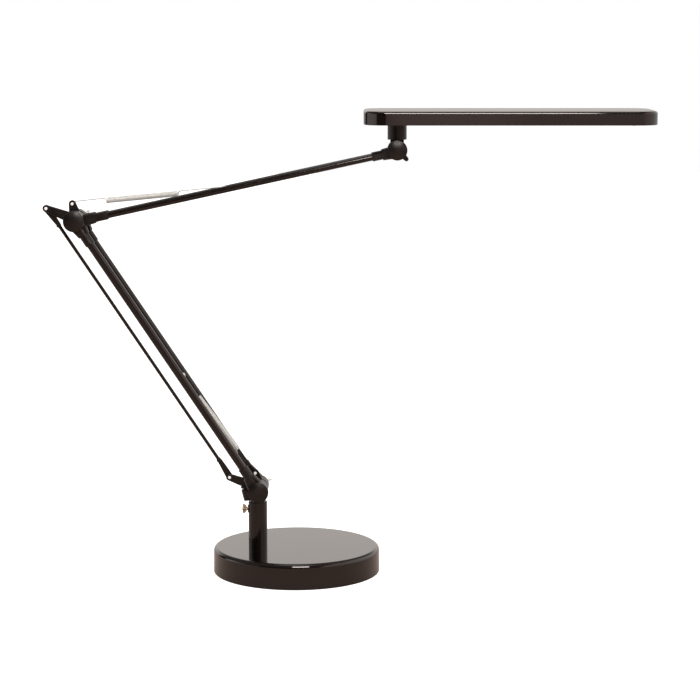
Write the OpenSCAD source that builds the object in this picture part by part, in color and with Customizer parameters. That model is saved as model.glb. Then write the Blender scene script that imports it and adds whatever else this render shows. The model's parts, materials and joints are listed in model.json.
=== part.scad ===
// Desk lamp with a round weighted base, an off-centre post, two twin-tube arms
// balanced by tension springs, and a flat lighting head that tilts and swivels.
// Millimetres. Origin: centre of the foot pad's underside. +X runs along the head,
// +Y away from the side that the round hinge caps face, +Z up.

/* [Base] */
// Diameter of the round base
base_d = 195; // [180:1:230]
// Height of the base's top above the table
base_h = 30; // [28:1:40]
// Radius of the rounded rim of the base cover
base_edge_r = 5; // [3:0.5:8]
// Wall of the base cover
cover_wall = 2.5; // [1.5:0.5:3]
// Thickness of the foot pad
pad_t = 2; // [1:0.5:3]
// Thickness of the bottom plate
bottom_plate_t = 1.5; // [1:0.5:2]
// Thickness of the cast weight
weight_t = 18; // [12:1:20]
// Distance of the post's axis from the middle of the base
post_offset = 45.5; // [20:0.5:60]

/* [Post] */
// Outside diameter of the post
post_d = 22; // [21:0.5:26]
// Wall of the post
post_wall = 1.75; // [1.25:0.25:2]
// Length of the post above the base
post_l = 52; // [45:1:120]
// Height of the thumb screw above the base
thumb_screw_up = 44; // [30:1:44]
// Diameter of the spigot that turns in the post
spigot_d = 15.5; // [12:0.5:16]
// Thread diameter of the thumb screw
thumb_screw_d = 5; // [4:0.5:6]
// Span of the thumb screw's wings
wing_span = 9.6; // [9:0.2:14]

/* [Lower arm] */
// Height of the lower hinge above the top of the post
hinge_up = 16.75; // [16:0.25:20]
// Distance from the post's axis to the lower hinge, towards the head
hinge_shift = 1.5; // [0:0.5:2]
// Distance between the lower arm's two hinges
lower_arm_l = 379; // [340:1:450]
// Lean of the lower arm from upright, to the left, as it stands
lower_lean = 33.5; // [26:0.1:40]
// Outside diameter of the lower arm's tubes
lower_tube_d = 9.5; // [8:0.1:9.8]
// Distance from the lower hinge to the pin that holds the lower spring
lower_pin_at = 160; // [156:1:200]

/* [Upper arm] */
// Distance between the upper arm's two hinges
upper_arm_l = 379; // [340:1:450]
// Rise of the upper arm from level, as it stands
upper_rise = 12.3; // [4:0.1:24]
// Outside diameter of the upper arm's tubes
upper_tube_d = 7.5; // [6:0.1:7.6]
// Drop of the upper arm's tubes below the line between its hinges
upper_drop = 2.2; // [0:0.1:2.6]
// Distance between the middles of the upper arm's two tubes
upper_spacing = 16; // [15.6:0.1:18]
// Distance from the elbow to the pin that holds the upper spring
upper_pin_at = 178; // [160:1:220]
// Wall of all arm tubes
tube_wall = 1; // [0.8:0.1:1.5]

/* [Hinges] */
// Diameter of the three hinge bolts
bolt_d = 8; // [6:0.5:9]
// Diameter of the round eyes that turn on the bolts
eye_d = 22; // [20:0.5:22]
// Thickness of the lower arm's eyes
lower_eye_t = 10; // [10:0.25:11.5]
// Thickness of the upper arm's eyes
upper_eye_t = 8; // [7.8:0.1:8.2]
// Depth to which a tube sits in its eye
tube_in = 20; // [10:1:22]
// Length from the hinge to the end of a lower arm eye's sleeve
lower_sleeve_l = 33; // [30:1:40]
// Length from the elbow to the end of an upper arm eye's sleeve
upper_sleeve_l = 38; // [34:1:45]
// Length from the head's hinge to the end of an upper arm eye's sleeve
head_sleeve_l = 30; // [29:1:40]
// Wall of the sleeves round the tubes
sleeve_wall = 1.1; // [0.8:0.1:1.5]
// Diameter of the caps on the lower hinge and the elbow
cap_d = 24; // [22:0.5:28]
// Diameter of the cap on the head's hinge
head_cap_d = 23; // [21:0.5:26]
// Thickness of the caps
cap_t = 6.5; // [5.5:0.5:9]
// Thickness of the bright washers
washer_t = 1; // [0.5:0.1:1.5]
// Diameter of the clamp nuts' flange
nut_d = 20; // [18:0.5:22]
// Thickness of the clamp nuts
nut_t = 7.5; // [6:0.5:10]
// Reach of the levers on the lower hinge's and the elbow's clamp nuts
lever_reach = 15.5; // [13:0.5:25]
// Reach of the lever on the head's clamp nut
head_lever_reach = 19; // [14:0.5:25]

/* [Lug plates and parallel rod] */
// Thickness of the two lug plates
plate_t = 3; // [2:0.2:3.2]
// Distance of the rod's lug to the left of its hinge
rod_lug_x = 34.5; // [30:0.5:40]
// Height of the rod's lug above its hinge
rod_lug_z = 13; // [10:0.1:16]
// Distance of the spring's lug to the left of its hinge
spring_lug_x = 4.1; // [0:0.1:6]
// Height of the spring's lug above its hinge
spring_lug_z = 18.5; // [18:0.5:22]
// Radius of the lugs' round ends
lug_r = 4.1; // [3.5:0.1:5]
// Diameter of the lugs' rivets
rivet_d = 2.6; // [2.4:0.1:3.6]
// Diameter of the parallel rod
rod_d = 4; // [2.5:0.1:4.2]
// Distance from the line between the rod's rivets to the rod's axis, towards the arm
rod_offset = 1.2; // [0:0.1:1.5]
// Length of the parallel rod's end pieces, from the rivet
rod_end_l = 27; // [26:0.5:32]
// Length of the flat tine on the rod's end pieces, from the rivet
rod_end_step = 23; // [22.5:0.5:24]

/* [Springs] */
// Diameter of the spring wire
wire_d = 1.2; // [0.8:0.1:1.4]
// Outside diameter of the springs
spring_d = 6.9; // [6.4:0.1:7.2]
// Distance from one turn to the next
spring_pitch = 1.85; // [1.8:0.05:1.95]
// Number of turns of each spring
spring_turns = 43; // [30:1:43]
// Length of the link between the lower spring and its lug
link_l = 34; // [26:0.5:38]
// Diameter of the link
link_d = 3.2; // [2.6:0.1:3.6]
// Length of the upper spring's straight leg to its lug
upper_leg_l = 34; // [26:0.5:50]

/* [Head] */
// Length of the head
head_l = 333; // [320:1:450]
// Width of the head
head_w = 110; // [100:1:180]
// Thickness of the head
head_t = 15.7; // [14.5:0.1:22]
// Radius of the head's corners, seen from above
head_corner_r = 25; // [15:1:30]
// Radius of the rounded top edge of the head
head_edge_r = 3; // [0.5:0.5:3]
// Wall of the head's housing
head_wall = 2.2; // [1.5:0.1:2.5]
// Distance from the swivel to the left end of the head
head_back = 38.5; // [36:0.5:60]
// Height of the head's underside above its hinge
head_up = 29.9; // [27:0.1:40]
// Diameter of the swivel barrel under the head
barrel_d = 22; // [20:0.5:24]
// Height of the barrel's lower end above the hinge
barrel_up = 11.7; // [11.4:0.1:14]
// Distance from the swivel to the near end of the light panel
panel_at = 29; // [24:1:60]
// Gap between the light panel and the board of the switch
panel_clear = 11; // [5:1:60]
// Distance from the light panel to the head's long sides
panel_side = 13; // [13:1:24]
// Thickness of the light panel
panel_t = 2; // [1.5:0.1:2.5]
// Distance from the switch button to the far end of the head
button_in = 22.5; // [14:0.5:30]
// Diameter of the switch button
button_d = 5; // [4:0.5:8]
// Travel of the switch button
button_travel = 0.8; // [0.3:0.1:0.9]

/* [Hidden] */
$fn = 96;
running_gap = 0.05;
face_gap = 0.25;
fit_gap = 0.05;
top_gap = 0.2;

post_r = post_d / 2;
post_in_r = post_r - post_wall;
post_top = base_h + post_l;
thumb_z = base_h + thumb_screw_up;
bush_rim = 1;
bush_in = 34;
spigot_r = spigot_d / 2;
spigot_in = 32;
groove_depth = 0.6;
groove_h = thumb_screw_d + 1.6;
thumb_boss_r = 4.6;
thumb_boss_out = 0.6;

// Lower hinge, elbow and head hinge.
hinge_x = hinge_shift - post_offset;
hinge_z = post_top + hinge_up;
elbow_x = hinge_x - lower_arm_l * sin(lower_lean);
elbow_z = hinge_z + lower_arm_l * cos(lower_lean);
head_x = elbow_x + upper_arm_l * cos(upper_rise);
head_z = elbow_z + upper_arm_l * sin(upper_rise);

// The hinge stack, from the middle plane outwards: lug plate or tongue, thrust washer,
// upper arm eye, lower arm eye, bright washer, cap or clamp nut.
bolt_r = bolt_d / 2;
eye_r = eye_d / 2;
upper_half = upper_spacing / 2;
upper_eye_in = upper_half - upper_eye_t / 2;
upper_eye_out = upper_half + upper_eye_t / 2;
lower_eye_in = upper_eye_out + face_gap;
lower_eye_out = lower_eye_in + lower_eye_t;
lower_half = lower_eye_in + lower_eye_t / 2;
tongue_half = upper_eye_in - top_gap;
thrust_in = plate_t / 2 + top_gap / 2;
thrust_out = upper_eye_in - top_gap;
thrust_r = 7;
washer_r = 10.5;
bolt_head_r = 6.8;
bolt_head_t = 3;
lower_tube_r = lower_tube_d / 2;
upper_tube_r = upper_tube_d / 2;
neck_share = 0.6;
lower_neck_root = eye_r - 1;
upper_neck_root = 7.2;
nut_step = 1.6;
lever_root_r = 4.5;
lever_tip_r = 1.5;
head_lever_tip_r = 2.6;

// Swivel block.
block_z = post_top + bush_rim + top_gap;
block_neck_r = 7.9;
slot_floor = hinge_z - 10.6;
stud_r = 5;
stud_l = slot_floor - block_z - 1.6;

// Gland for the mains lead, from its top, in X and Z from the lower hinge.
gland_at = [-15.9, 3.8];
gland_tilt = 10;
gland_r = 6;
gland_core_r = 3.9;
gland_mouth_r = 5;
gland_l = 18.5;
gland_bore_r = 2.75;
gland_bore_l = 13;

// Lug plates, in X and Z from their hinge.
rod_lug = [-rod_lug_x, rod_lug_z];
spring_lug = [-spring_lug_x, spring_lug_z];
plate_hub_r = 10;
strap_root_r = 6.5;
rivet_r = rivet_d / 2;
rivet_head_r = rivet_r + 0.45;
rivet_head_t = 0.7;
tine_in = plate_t / 2 + top_gap;
tine_out = tine_in + 2;
rod_end_r = rod_d / 2 + 0.6;

// Springs. The upper spring hooks round its rivet behind the plate.
wire_r = wire_d / 2;
coil_r = (spring_d - wire_d) / 2;
coil_l = spring_turns * spring_pitch;
pin_r = coil_r - wire_r - 0.35;
hook_ring = 12;
ease_l = 4;
end_straight = wire_d;
rivet_hook_r = rivet_r + wire_r + 0.3;
rivet_hook_y = plate_t / 2 + wire_r + 0.35;
link_tine_in = tine_in;
link_tine_out = tine_in + 1.5;
link_eye_r = 3.4;
link_step_at = 12;
link_plug_l = 9;
lower_pin_x = hinge_x - lower_pin_at * sin(lower_lean);
lower_pin_z = hinge_z + lower_pin_at * cos(lower_lean);
lower_lug_x = hinge_x - spring_lug_x;
lower_lug_z = hinge_z + spring_lug_z;
lower_span = norm([lower_lug_x - lower_pin_x, lower_lug_z - lower_pin_z]);
lower_turn = atan2(lower_lug_x - lower_pin_x, lower_lug_z - lower_pin_z);
upper_pin_x = elbow_x + upper_pin_at * cos(upper_rise) + upper_drop * sin(upper_rise);
upper_pin_z = elbow_z + upper_pin_at * sin(upper_rise) - upper_drop * cos(upper_rise);
upper_lug_x = elbow_x - spring_lug_x;
upper_lug_z = elbow_z + spring_lug_z;
upper_span = norm([upper_lug_x - upper_pin_x, upper_lug_z - upper_pin_z]);
upper_turn = atan2(upper_lug_x - upper_pin_x, upper_lug_z - upper_pin_z);
lower_coil_at = lower_span - link_l - coil_l;
upper_coil_at = upper_span - upper_leg_l - coil_l;

// Head.
head_bottom = head_z + head_up;
head_left = head_x - head_back;
head_mid_x = head_left + head_l / 2;
head_roof = head_bottom + head_t - head_wall;
bezel_t = 2;
bezel_top = head_bottom + bezel_t;
barrel_r = barrel_d / 2;
barrel_flange_r = barrel_r + 3.5;
barrel_flange_t = 2;
swivel_pin_r = 4;
swivel_thread_r = 2.4;
swivel_thread_l = 8;
swivel_head_r = 6.5;
swivel_head_t = 3;
bracket_neck_w = 15.5;
button_x = head_left + head_l - button_in;
switch_board = [14, 42, 1.6];
switch_body = [6, 6, 2.8];
switch_part = [8, 5, 1.5];
panel_x = head_x + panel_at;
panel_l = button_x - switch_board.x / 2 - panel_clear - panel_x;
panel_w = head_w - 2 * panel_side;
panel_mid_x = panel_x + panel_l / 2;
panel_corner_r = 6;
panel_rim = 3;
board_t = 1.6;
board_z = head_roof - 3 - board_t;
chip = [3.5, 2.8, 0.8];
chip_rows = 5;
chip_columns = 11;
button_out = 2.5;
button_flange_r = button_d / 2 + 1.4;
button_flange_t = 1.2;
button_flange_z = bezel_top + button_travel + top_gap;
switch_z = button_flange_z + button_flange_t + button_travel + top_gap;
switch_board_z = switch_z + switch_body.z - 0.2;
head_screw_r = 1.5;
head_screw_in = 9.5;
head_boss_r = 3.4;

// Base.
base_r = base_d / 2;
cover_in_r = base_r - cover_wall;
cover_lift = 0.3;
plate_z = pad_t;
weight_z = plate_z + bottom_plate_t;
weight_r = cover_in_r - 2.5;
cover_roof = base_h - cover_wall;
pad_r = cover_in_r - 3;
foot_bolt_r = 4;
foot_plug_l = 15;
foot_boss_r = 14;
foot_head_r = 8;
foot_head_t = 5;
base_screw_ring = 62;
base_screw_r = 2;
base_screw_l = 9;

gloss_black = "#231f1d";
black_plastic = "#151413";
black_lacquer = "#2b2623";
bright_metal = "#c9c9c6";

// Places

module at_lower_hinge() { translate([hinge_x, 0, hinge_z]) children(); }
module at_elbow() { translate([elbow_x, 0, elbow_z]) children(); }
module at_head_hinge() { translate([head_x, 0, head_z]) children(); }

// Local +Z runs along the arm, away from the lower hinge or the elbow.
module along_lower_arm() { at_lower_hinge() rotate([0, -lower_lean, 0]) children(); }
module along_upper_arm() { at_elbow() rotate([0, 90 - upper_rise, 0]) children(); }

// Shared forms

// A round bar along Y, from y0 to y1.
module bar_y(r, y0, y1) {
    translate([0, y1, 0]) rotate([90, 0, 0]) cylinder(r = r, h = y1 - y0);
}

// An outline in X and Z, thickened by t about the middle plane.
module slab_y(t) {
    rotate([90, 0, 0]) linear_extrude(height = t, center = true) children();
}

// A point on a circle, drawn in by tuck so that an edge from it crosses the circle.
tuck = 0.02;
function on_circle(c, r, a) = c + (r - tuck) * [cos(a), sin(a)];

// Two circles joined along their outer tangents.
module strap(a, ra, b, rb) {
    way = atan2(b.y - a.y, b.x - a.x);
    side = acos((ra - rb) / norm(b - a));
    polygon([
        on_circle(a, ra, way - side), on_circle(b, rb, way - side),
        on_circle(b, rb, way + side), on_circle(a, ra, way + side)
    ]);
    translate(a) circle(r = ra);
    translate(b) circle(r = rb);
}

// A rectangle with round corners, centred.
module round_rect(l, w, r) {
    for (x = [r - l / 2, l / 2 - r], y = [r - w / 2, w / 2 - r]) translate([x, y]) circle(r = r);
    square([l - 2 * r, w], center = true);
    square([l, w - 2 * r], center = true);
}

// A slab with round corners and a quarter-round top edge.
module soft_slab(l, w, h, r, edge) {
    module edge_profile(half) {
        square([half - edge, h]);
        square([half, h - edge]);
        translate([half - edge, h - edge]) circle(r = edge);
    }
    module bar(length, half) {
        for (s = [0, 180]) rotate([90, 0, 90 + s])
            linear_extrude(height = length, center = true) edge_profile(half);
    }
    bar(l - 2 * r, w / 2);
    rotate([0, 0, 90]) bar(w - 2 * r, l / 2);
    for (x = [r - l / 2, l / 2 - r], y = [r - w / 2, w / 2 - r])
        translate([x, y, 0]) rotate_extrude() edge_profile(r);
}

// Arm parts

// Eye on the hinge with a neck that tapers to a stepped sleeve round the tube.
// The hinge is at the origin, along Y, and the tube leaves along +Z, off the hinge by drop.
// The sleeve is cut flush with the eye on the side, -1 or 1, on which the other arm folds past it.
module arm_eye(eye_t, tube_r, sleeve_l, neck_root, drop, flush) {
    sleeve_r = tube_r + sleeve_wall;
    sleeve_at = eye_r + 0.6;
    neck_l = sleeve_l * neck_share;
    neck_r = sleeve_r + 1.2;
    difference() {
        union() {
            bar_y(eye_r, -eye_t / 2, eye_t / 2);
            intersection() {
                translate([drop, 0, 0]) rotate_extrude()
                    polygon([[0, 0], [neck_root, 4], [neck_r, neck_l], [0, neck_l]]);
                translate([-eye_r, -eye_t / 2, 0]) cube([eye_d, eye_t, neck_l]);
            }
            intersection() {
                translate([drop, 0, 0]) rotate_extrude() polygon([
                    [0, sleeve_at], [sleeve_r, sleeve_at], [sleeve_r, sleeve_l - 0.6],
                    [sleeve_r - 0.6, sleeve_l], [0, sleeve_l]
                ]);
                translate([-eye_r, flush > 0 ? -eye_r : -eye_t / 2, 0])
                    cube([eye_d, eye_r + eye_t / 2, sleeve_l]);
            }
        }
        bar_y(bolt_r + running_gap, -eye_t, eye_t);
        translate([drop, 0, sleeve_l - tube_in]) cylinder(r = tube_r + fit_gap, h = tube_in + 1);
    }
}

// Tube between two hinges, in the sleeves of its near and far eyes, with a hole in its inner
// wall for the spring pin.
module arm_tube(length, tube_r, near_sleeve_l, far_sleeve_l, pin_at, inner) {
    start = near_sleeve_l - tube_in + 0.5;
    tube_l = length - start - (far_sleeve_l - tube_in + 0.5);
    difference() {
        translate([0, 0, start]) cylinder(r = tube_r, h = tube_l);
        translate([0, 0, start - 1]) cylinder(r = tube_r - tube_wall, h = tube_l + 2);
        translate([0, 0, pin_at])
            bar_y(pin_r + fit_gap, min(0, inner * 2 * tube_r), max(0, inner * 2 * tube_r));
    }
}

module spring_pin(half) {
    bar_y(pin_r, -half, half);
}

// Bolt along Y with a round head at the front, inside the cap, and a chamfered end.
module hinge_bolt(half) {
    front = half + washer_t + 2 * top_gap;
    back = half + washer_t + nut_t + 2 * top_gap;
    bar_y(bolt_r, -front - 0.5, back - 1);
    translate([0, back, 0]) rotate([90, 0, 0]) cylinder(r1 = bolt_r - 0.8, r2 = bolt_r, h = 1);
    bar_y(bolt_head_r, -front - bolt_head_t, -front);
}

module hinge_washers(half) {
    for (y = [-half - washer_t - top_gap, half + top_gap]) difference() {
        bar_y(washer_r, y, y + washer_t);
        bar_y(bolt_r + running_gap, y - 1, y + washer_t + 1);
    }
}

// Domed cap with a pocket for the bolt's head. It faces -Y.
module hinge_cap(half, d) {
    dome = 1.8;
    r = d / 2;
    ball = (r * r + dome * dome) / (2 * dome);
    translate([0, -half - washer_t - 2 * top_gap, 0]) rotate([90, 0, 0]) difference() {
        rotate_extrude() intersection() {
            union() {
                square([r - 0.8, cap_t]);
                translate([0, 0.8]) square([r, cap_t]);
                translate([r - 0.8, 0.8]) circle(r = 0.8);
            }
            translate([0, cap_t - ball]) circle(r = ball, $fn = 256);
        }
        translate([0, 0, -1]) cylinder(r = bolt_head_r + fit_gap, h = bolt_head_t + 1 + fit_gap);
    }
}

// Flanged clamp nut on the back end of a bolt, with a lever at the given angle.
module clamp_nut(half, angle, reach, tip_r) {
    start = half + washer_t + 2 * top_gap;
    flange_t = nut_t * 0.4;
    lever_t = nut_t - flange_t - 1;
    tip = (reach - tip_r) * [cos(angle), sin(angle)];
    difference() {
        union() {
            bar_y(nut_d / 2, start, start + flange_t);
            bar_y(nut_d / 2 - nut_step, start, start + nut_t);
            translate([0, start + (flange_t + nut_t) / 2, 0])
                slab_y(lever_t) strap([0, 0], lever_root_r, tip, tip_r);
        }
        bar_y(bolt_r + running_gap, start - 1, start + nut_t + 1);
    }
}

// Plate with a hub, a long lug for the parallel rod and a short lug for the spring.
module lug_plate() {
    slab_y(plate_t) difference() {
        union() {
            circle(r = plate_hub_r);
            strap([0, 0], strap_root_r, rod_lug, lug_r);
            strap([0, 0], plate_hub_r - 2, spring_lug, lug_r);
        }
        circle(r = bolt_r + running_gap);
        for (lug = [rod_lug, spring_lug]) translate(lug) circle(r = rivet_r + running_gap);
    }
}

// Rivet through a lug at p, from y0 to y1, with a low head on each end.
module lug_rivet(p, y0, y1) {
    translate([p.x, 0, p.y]) {
        bar_y(rivet_r, y0, y1);
        bar_y(rivet_head_r, y0 - rivet_head_t, y0);
        bar_y(rivet_head_r, y1, y1 + rivet_head_t);
    }
}

// End piece of the parallel rod. The rivet is at the origin and the rod leaves along +Z, off
// the rivet by offset. Its one tine runs behind the lug plate.
module rod_end(offset) {
    difference() {
        intersection() {
            slab_y(2 * tine_out)
                strap([0, 0], lug_r, [offset, rod_end_l - rod_end_r], rod_end_r);
            translate([offset, 0, -lug_r])
                cylinder(r1 = 6.5, r2 = rod_end_r + 0.4, h = rod_end_l + lug_r);
        }
        translate([-10, -10, -10]) cube([20, 10 + tine_in, 10 + rod_end_step]);
        bar_y(rivet_r + running_gap, -10, 10);
        translate([offset, 0, rod_end_step - 1])
            cylinder(r = rod_d / 2 + fit_gap, h = rod_end_l);
    }
}

// Springs

// Point on a circle round the Y axis at height y, by its angle from +X towards +Z.
function hook_point(r, y, z, a) = [r * cos(a), y, z + r * sin(a)];

// Coil round the Z axis. The climb eases to a straight leg at both ends.
function coil_point(a, z0) =
    let (last = 360 * spring_turns, lead = max(0, 90 - a) / 90, trail = max(0, a - last + 90) / 90)
    [coil_r * cos(a), coil_r * sin(a), z0 + spring_pitch * a / 360 + ease_l * (trail ^ 2 - lead ^ 2)];

function coil(z0) = [for (i = [0 : 8 * spring_turns]) coil_point(45 * i, z0)];

// Open hook round the pin at the origin, and the straight leg to the coil.
function pin_hook() = concat(
    [hook_point(coil_r, 0, 0, -250) + end_straight * [sin(-250), 0, -cos(-250)]],
    [for (i = [0 : hook_ring]) hook_point(coil_r, 0, 0, -250 + 250 * i / hook_ring)]
);

// Open hook round the rivet at height z, behind the plate.
function rivet_hook(z) = concat(
    [for (i = [0 : hook_ring]) hook_point(rivet_hook_r, rivet_hook_y, z, 250 * i / hook_ring)],
    [hook_point(rivet_hook_r, rivet_hook_y, z, 250) + end_straight * [-sin(250), 0, cos(250)]]
);

lower_path = concat(pin_hook(), coil(lower_coil_at),
    [coil_point(360 * spring_turns, lower_coil_at) + [0, 0, end_straight]]);
upper_path = concat(pin_hook(), coil(upper_coil_at), rivet_hook(upper_span));

function unit(v) = v / norm(v);
function heading(path, i) = unit(path[min(i + 1, len(path) - 1)] - path[max(i - 1, 0)]);
function across(v, t) = unit(v - (v * t) * t);

// The wire as one tube: six corners a ring, each ring turned as little as the path allows.
module wire(path) {
    sides = 6;
    last = len(path) - 1;
    first = across([0, 1, 0], heading(path, 0));
    normals = [for (i = 0, n = first; i <= last;
        n = i < last ? across(n, heading(path, i + 1)) : n, i = i + 1) n];
    corners = [for (i = [0 : last], k = [0 : sides - 1])
        let (n = normals[i], b = cross(heading(path, i), n), a = 60 * k)
        path[i] + wire_r * (cos(a) * n + sin(a) * b)];
    walls = [for (i = [0 : last - 1], k = [0 : sides - 1])
        let (p = i * sides + k, q = i * sides + (k + 1) % sides)
        each [[p, p + sides, q], [q, p + sides, q + sides]]];
    ends = [for (k = [1 : sides - 2])
        each [[0, k, k + 1], [last * sides, last * sides + k + 1, last * sides + k]]];
    polyhedron(points = corners, faces = concat(walls, ends));
}

// Least clear distance between stretches of the wire that lie five or more rings apart.
function least_gap(path) = min([for (i = [0 : len(path) - 1], j = [i + 5 : 1 : len(path) - 1])
    norm(path[i] - path[j])]) - wire_d;
echo(lower_spring_least_gap = least_gap(lower_path), upper_spring_least_gap = least_gap(upper_path));

// Base

module base_cover() {
    color(gloss_black) difference() {
        translate([0, 0, cover_lift]) rotate_extrude() difference() {
            union() {
                square([base_r - base_edge_r, base_h - cover_lift]);
                square([base_r, base_h - cover_lift - base_edge_r]);
                translate([base_r - base_edge_r, base_h - cover_lift - base_edge_r]) circle(r = base_edge_r);
            }
            translate([0, -1]) square([cover_in_r, cover_roof - cover_lift - base_edge_r + cover_wall + 1]);
            translate([0, -1]) square([base_r - base_edge_r, cover_roof - cover_lift + 1]);
        }
        translate([-post_offset, 0, cover_roof - 5]) cylinder(r = foot_bolt_r + fit_gap, h = 20);
    }
}

module base_weight() {
    color("dimgray") difference() {
        union() {
            translate([0, 0, weight_z]) cylinder(r = weight_r, h = weight_t);
            translate([-post_offset, 0, weight_z]) cylinder(r = foot_boss_r, h = cover_roof - weight_z);
        }
        translate([-post_offset, 0, 0]) cylinder(r = foot_bolt_r + fit_gap, h = base_h);
        translate([-post_offset, 0, 0]) cylinder(r = foot_head_r + 2, h = weight_z + foot_head_t + 1);
        for (a = [30, 150, 270]) rotate([0, 0, a]) translate([base_screw_ring, 0, 0])
            cylinder(r = base_screw_r + fit_gap, h = weight_z + base_screw_l);
    }
}

module bottom_plate() {
    color("silver") difference() {
        translate([0, 0, plate_z]) cylinder(r = cover_in_r - top_gap, h = bottom_plate_t);
        for (a = [30, 150, 270]) rotate([0, 0, a]) translate([base_screw_ring, 0, plate_z - 1])
            cylinder(r = base_screw_r + fit_gap, h = bottom_plate_t + 2);
    }
}

module foot_pad() {
    color("black") difference() {
        cylinder(r = pad_r, h = pad_t);
        for (a = [30, 150, 270]) rotate([0, 0, a]) translate([base_screw_ring, 0, pad_t - 0.8])
            cylinder(r = 2 * base_screw_r + 0.3, h = 2);
    }
}

module base_screws() {
    color(bright_metal) for (a = [30, 150, 270]) rotate([0, 0, a])
        translate([base_screw_ring, 0, 0]) {
            translate([0, 0, plate_z - 0.6]) cylinder(r = 2 * base_screw_r, h = 0.6);
            translate([0, 0, plate_z - 0.6]) cylinder(r = base_screw_r, h = base_screw_l);
        }
}

// Post

module at_post() { translate([-post_offset, 0, 0]) children(); }

// A round bar along -X from the post's axis at the thumb screw's height, from r0 to r1.
module thumb_bar(r, r0, r1) {
    translate([-r1, 0, thumb_z]) rotate([0, 90, 0]) cylinder(r = r, h = r1 - r0);
}

module post_tube() {
    color(black_lacquer) at_post() difference() {
        union() {
            translate([0, 0, base_h]) cylinder(r = post_r, h = post_l);
            thumb_bar(thumb_boss_r, post_in_r + 0.4, post_r + thumb_boss_out);
        }
        translate([0, 0, base_h - 1]) cylinder(r = post_in_r, h = post_l + 2);
        thumb_bar(thumb_screw_d / 2 + running_gap, 0, post_r + thumb_boss_out + 1);
    }
}

module post_foot_plug() {
    color(bright_metal) at_post() difference() {
        translate([0, 0, base_h]) cylinder(r = post_in_r - fit_gap, h = foot_plug_l);
        translate([0, 0, base_h - 1]) cylinder(r = foot_bolt_r + fit_gap, h = foot_plug_l - 1);
    }
}

module post_bolt() {
    color(bright_metal) at_post() {
        translate([0, 0, weight_z + 1]) cylinder(r = foot_bolt_r, h = base_h + foot_plug_l - 4 - weight_z - 1);
        translate([0, 0, weight_z + 1]) cylinder(r = foot_head_r, h = foot_head_t, $fn = 6);
    }
}

module post_bush() {
    color("black") at_post() difference() {
        union() {
            translate([0, 0, post_top - bush_in]) cylinder(r = post_in_r - fit_gap, h = bush_in);
            translate([0, 0, post_top]) cylinder(r = post_r - 0.3, h = bush_rim);
        }
        translate([0, 0, post_top - bush_in - 1]) cylinder(r = spigot_r + running_gap, h = bush_in + 3);
        thumb_bar(thumb_screw_d / 2 + running_gap, 0, post_r);
    }
}

// Wing screw. Its tip stands clear in the spigot's groove, so that it keeps the spigot in.
module thumb_screw() {
    seat = post_r + thumb_boss_out + face_gap;
    tip = spigot_r - groove_depth + 0.3;
    wing_r = 1.3;
    wing = wing_span / 2 - wing_r;
    color("#c8a368") at_post() {
        thumb_bar(thumb_screw_d / 2, tip, seat + 2.4);
        translate([-seat, 0, thumb_z]) slab_y(2.2) {
            for (s = [-1, 1]) strap([-1.4, 0], wing_r, [-3.1, s * wing], wing_r);
            translate([-4.2, 0]) circle(r = 2.3);
        }
    }
}

// Swivel

// Neck on the post, and a hub that fills the lower hinge between the arm's eyes. The lug
// plate stands in its slot.
module swivel_block() {
    hub_half = lower_eye_in - face_gap;
    color(black_plastic) difference() {
        union() {
            at_lower_hinge() bar_y(eye_r, -hub_half, hub_half);
            at_post() translate([0, 0, block_z]) cylinder(r = block_neck_r, h = hinge_z - block_z);
        }
        translate([hinge_x - 2 * eye_r, -plate_t / 2 - fit_gap, slot_floor])
            cube([4 * eye_r, plate_t + 2 * fit_gap, 4 * eye_r]);
        at_lower_hinge() bar_y(bolt_r + fit_gap, -lower_half, lower_half);
        at_post() translate([0, 0, block_z - 1]) cylinder(r = stud_r + fit_gap, h = stud_l + 1.2);
    }
}

// The groove takes the wing screw's tip. The stud on top is fast in the block.
module swivel_spigot() {
    bottom = post_top - spigot_in;
    color(bright_metal) at_post() {
        difference() {
            translate([0, 0, bottom]) cylinder(r = spigot_r, h = block_z - bottom);
            translate([0, 0, thumb_z - groove_h / 2]) difference() {
                cylinder(r = spigot_r + 1, h = groove_h);
                translate([0, 0, -1]) cylinder(r = spigot_r - groove_depth, h = groove_h + 2);
            }
        }
        translate([0, 0, block_z - 1]) cylinder(r = stud_r, h = stud_l + 1);
    }
}

module base_lug_plate() {
    color(black_plastic) at_lower_hinge() lug_plate();
}

module base_lug_rivets() {
    color("#d8d2c4") at_lower_hinge() {
        lug_rivet(rod_lug, -plate_t / 2 - 0.05, tine_out + 0.1);
        lug_rivet(spring_lug, -link_tine_out - 0.1, link_tine_out + 0.1);
    }
}

module base_hinge_bolt() { color(bright_metal) at_lower_hinge() hinge_bolt(lower_eye_out); }
module base_hinge_cap() { color(black_plastic) at_lower_hinge() hinge_cap(lower_eye_out, cap_d); }
module base_hinge_washers() { color(bright_metal) at_lower_hinge() hinge_washers(lower_eye_out); }

module base_clamp_nut() {
    color(bright_metal) at_lower_hinge() clamp_nut(lower_eye_out, 21, lever_reach, lever_tip_r);
}

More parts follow.
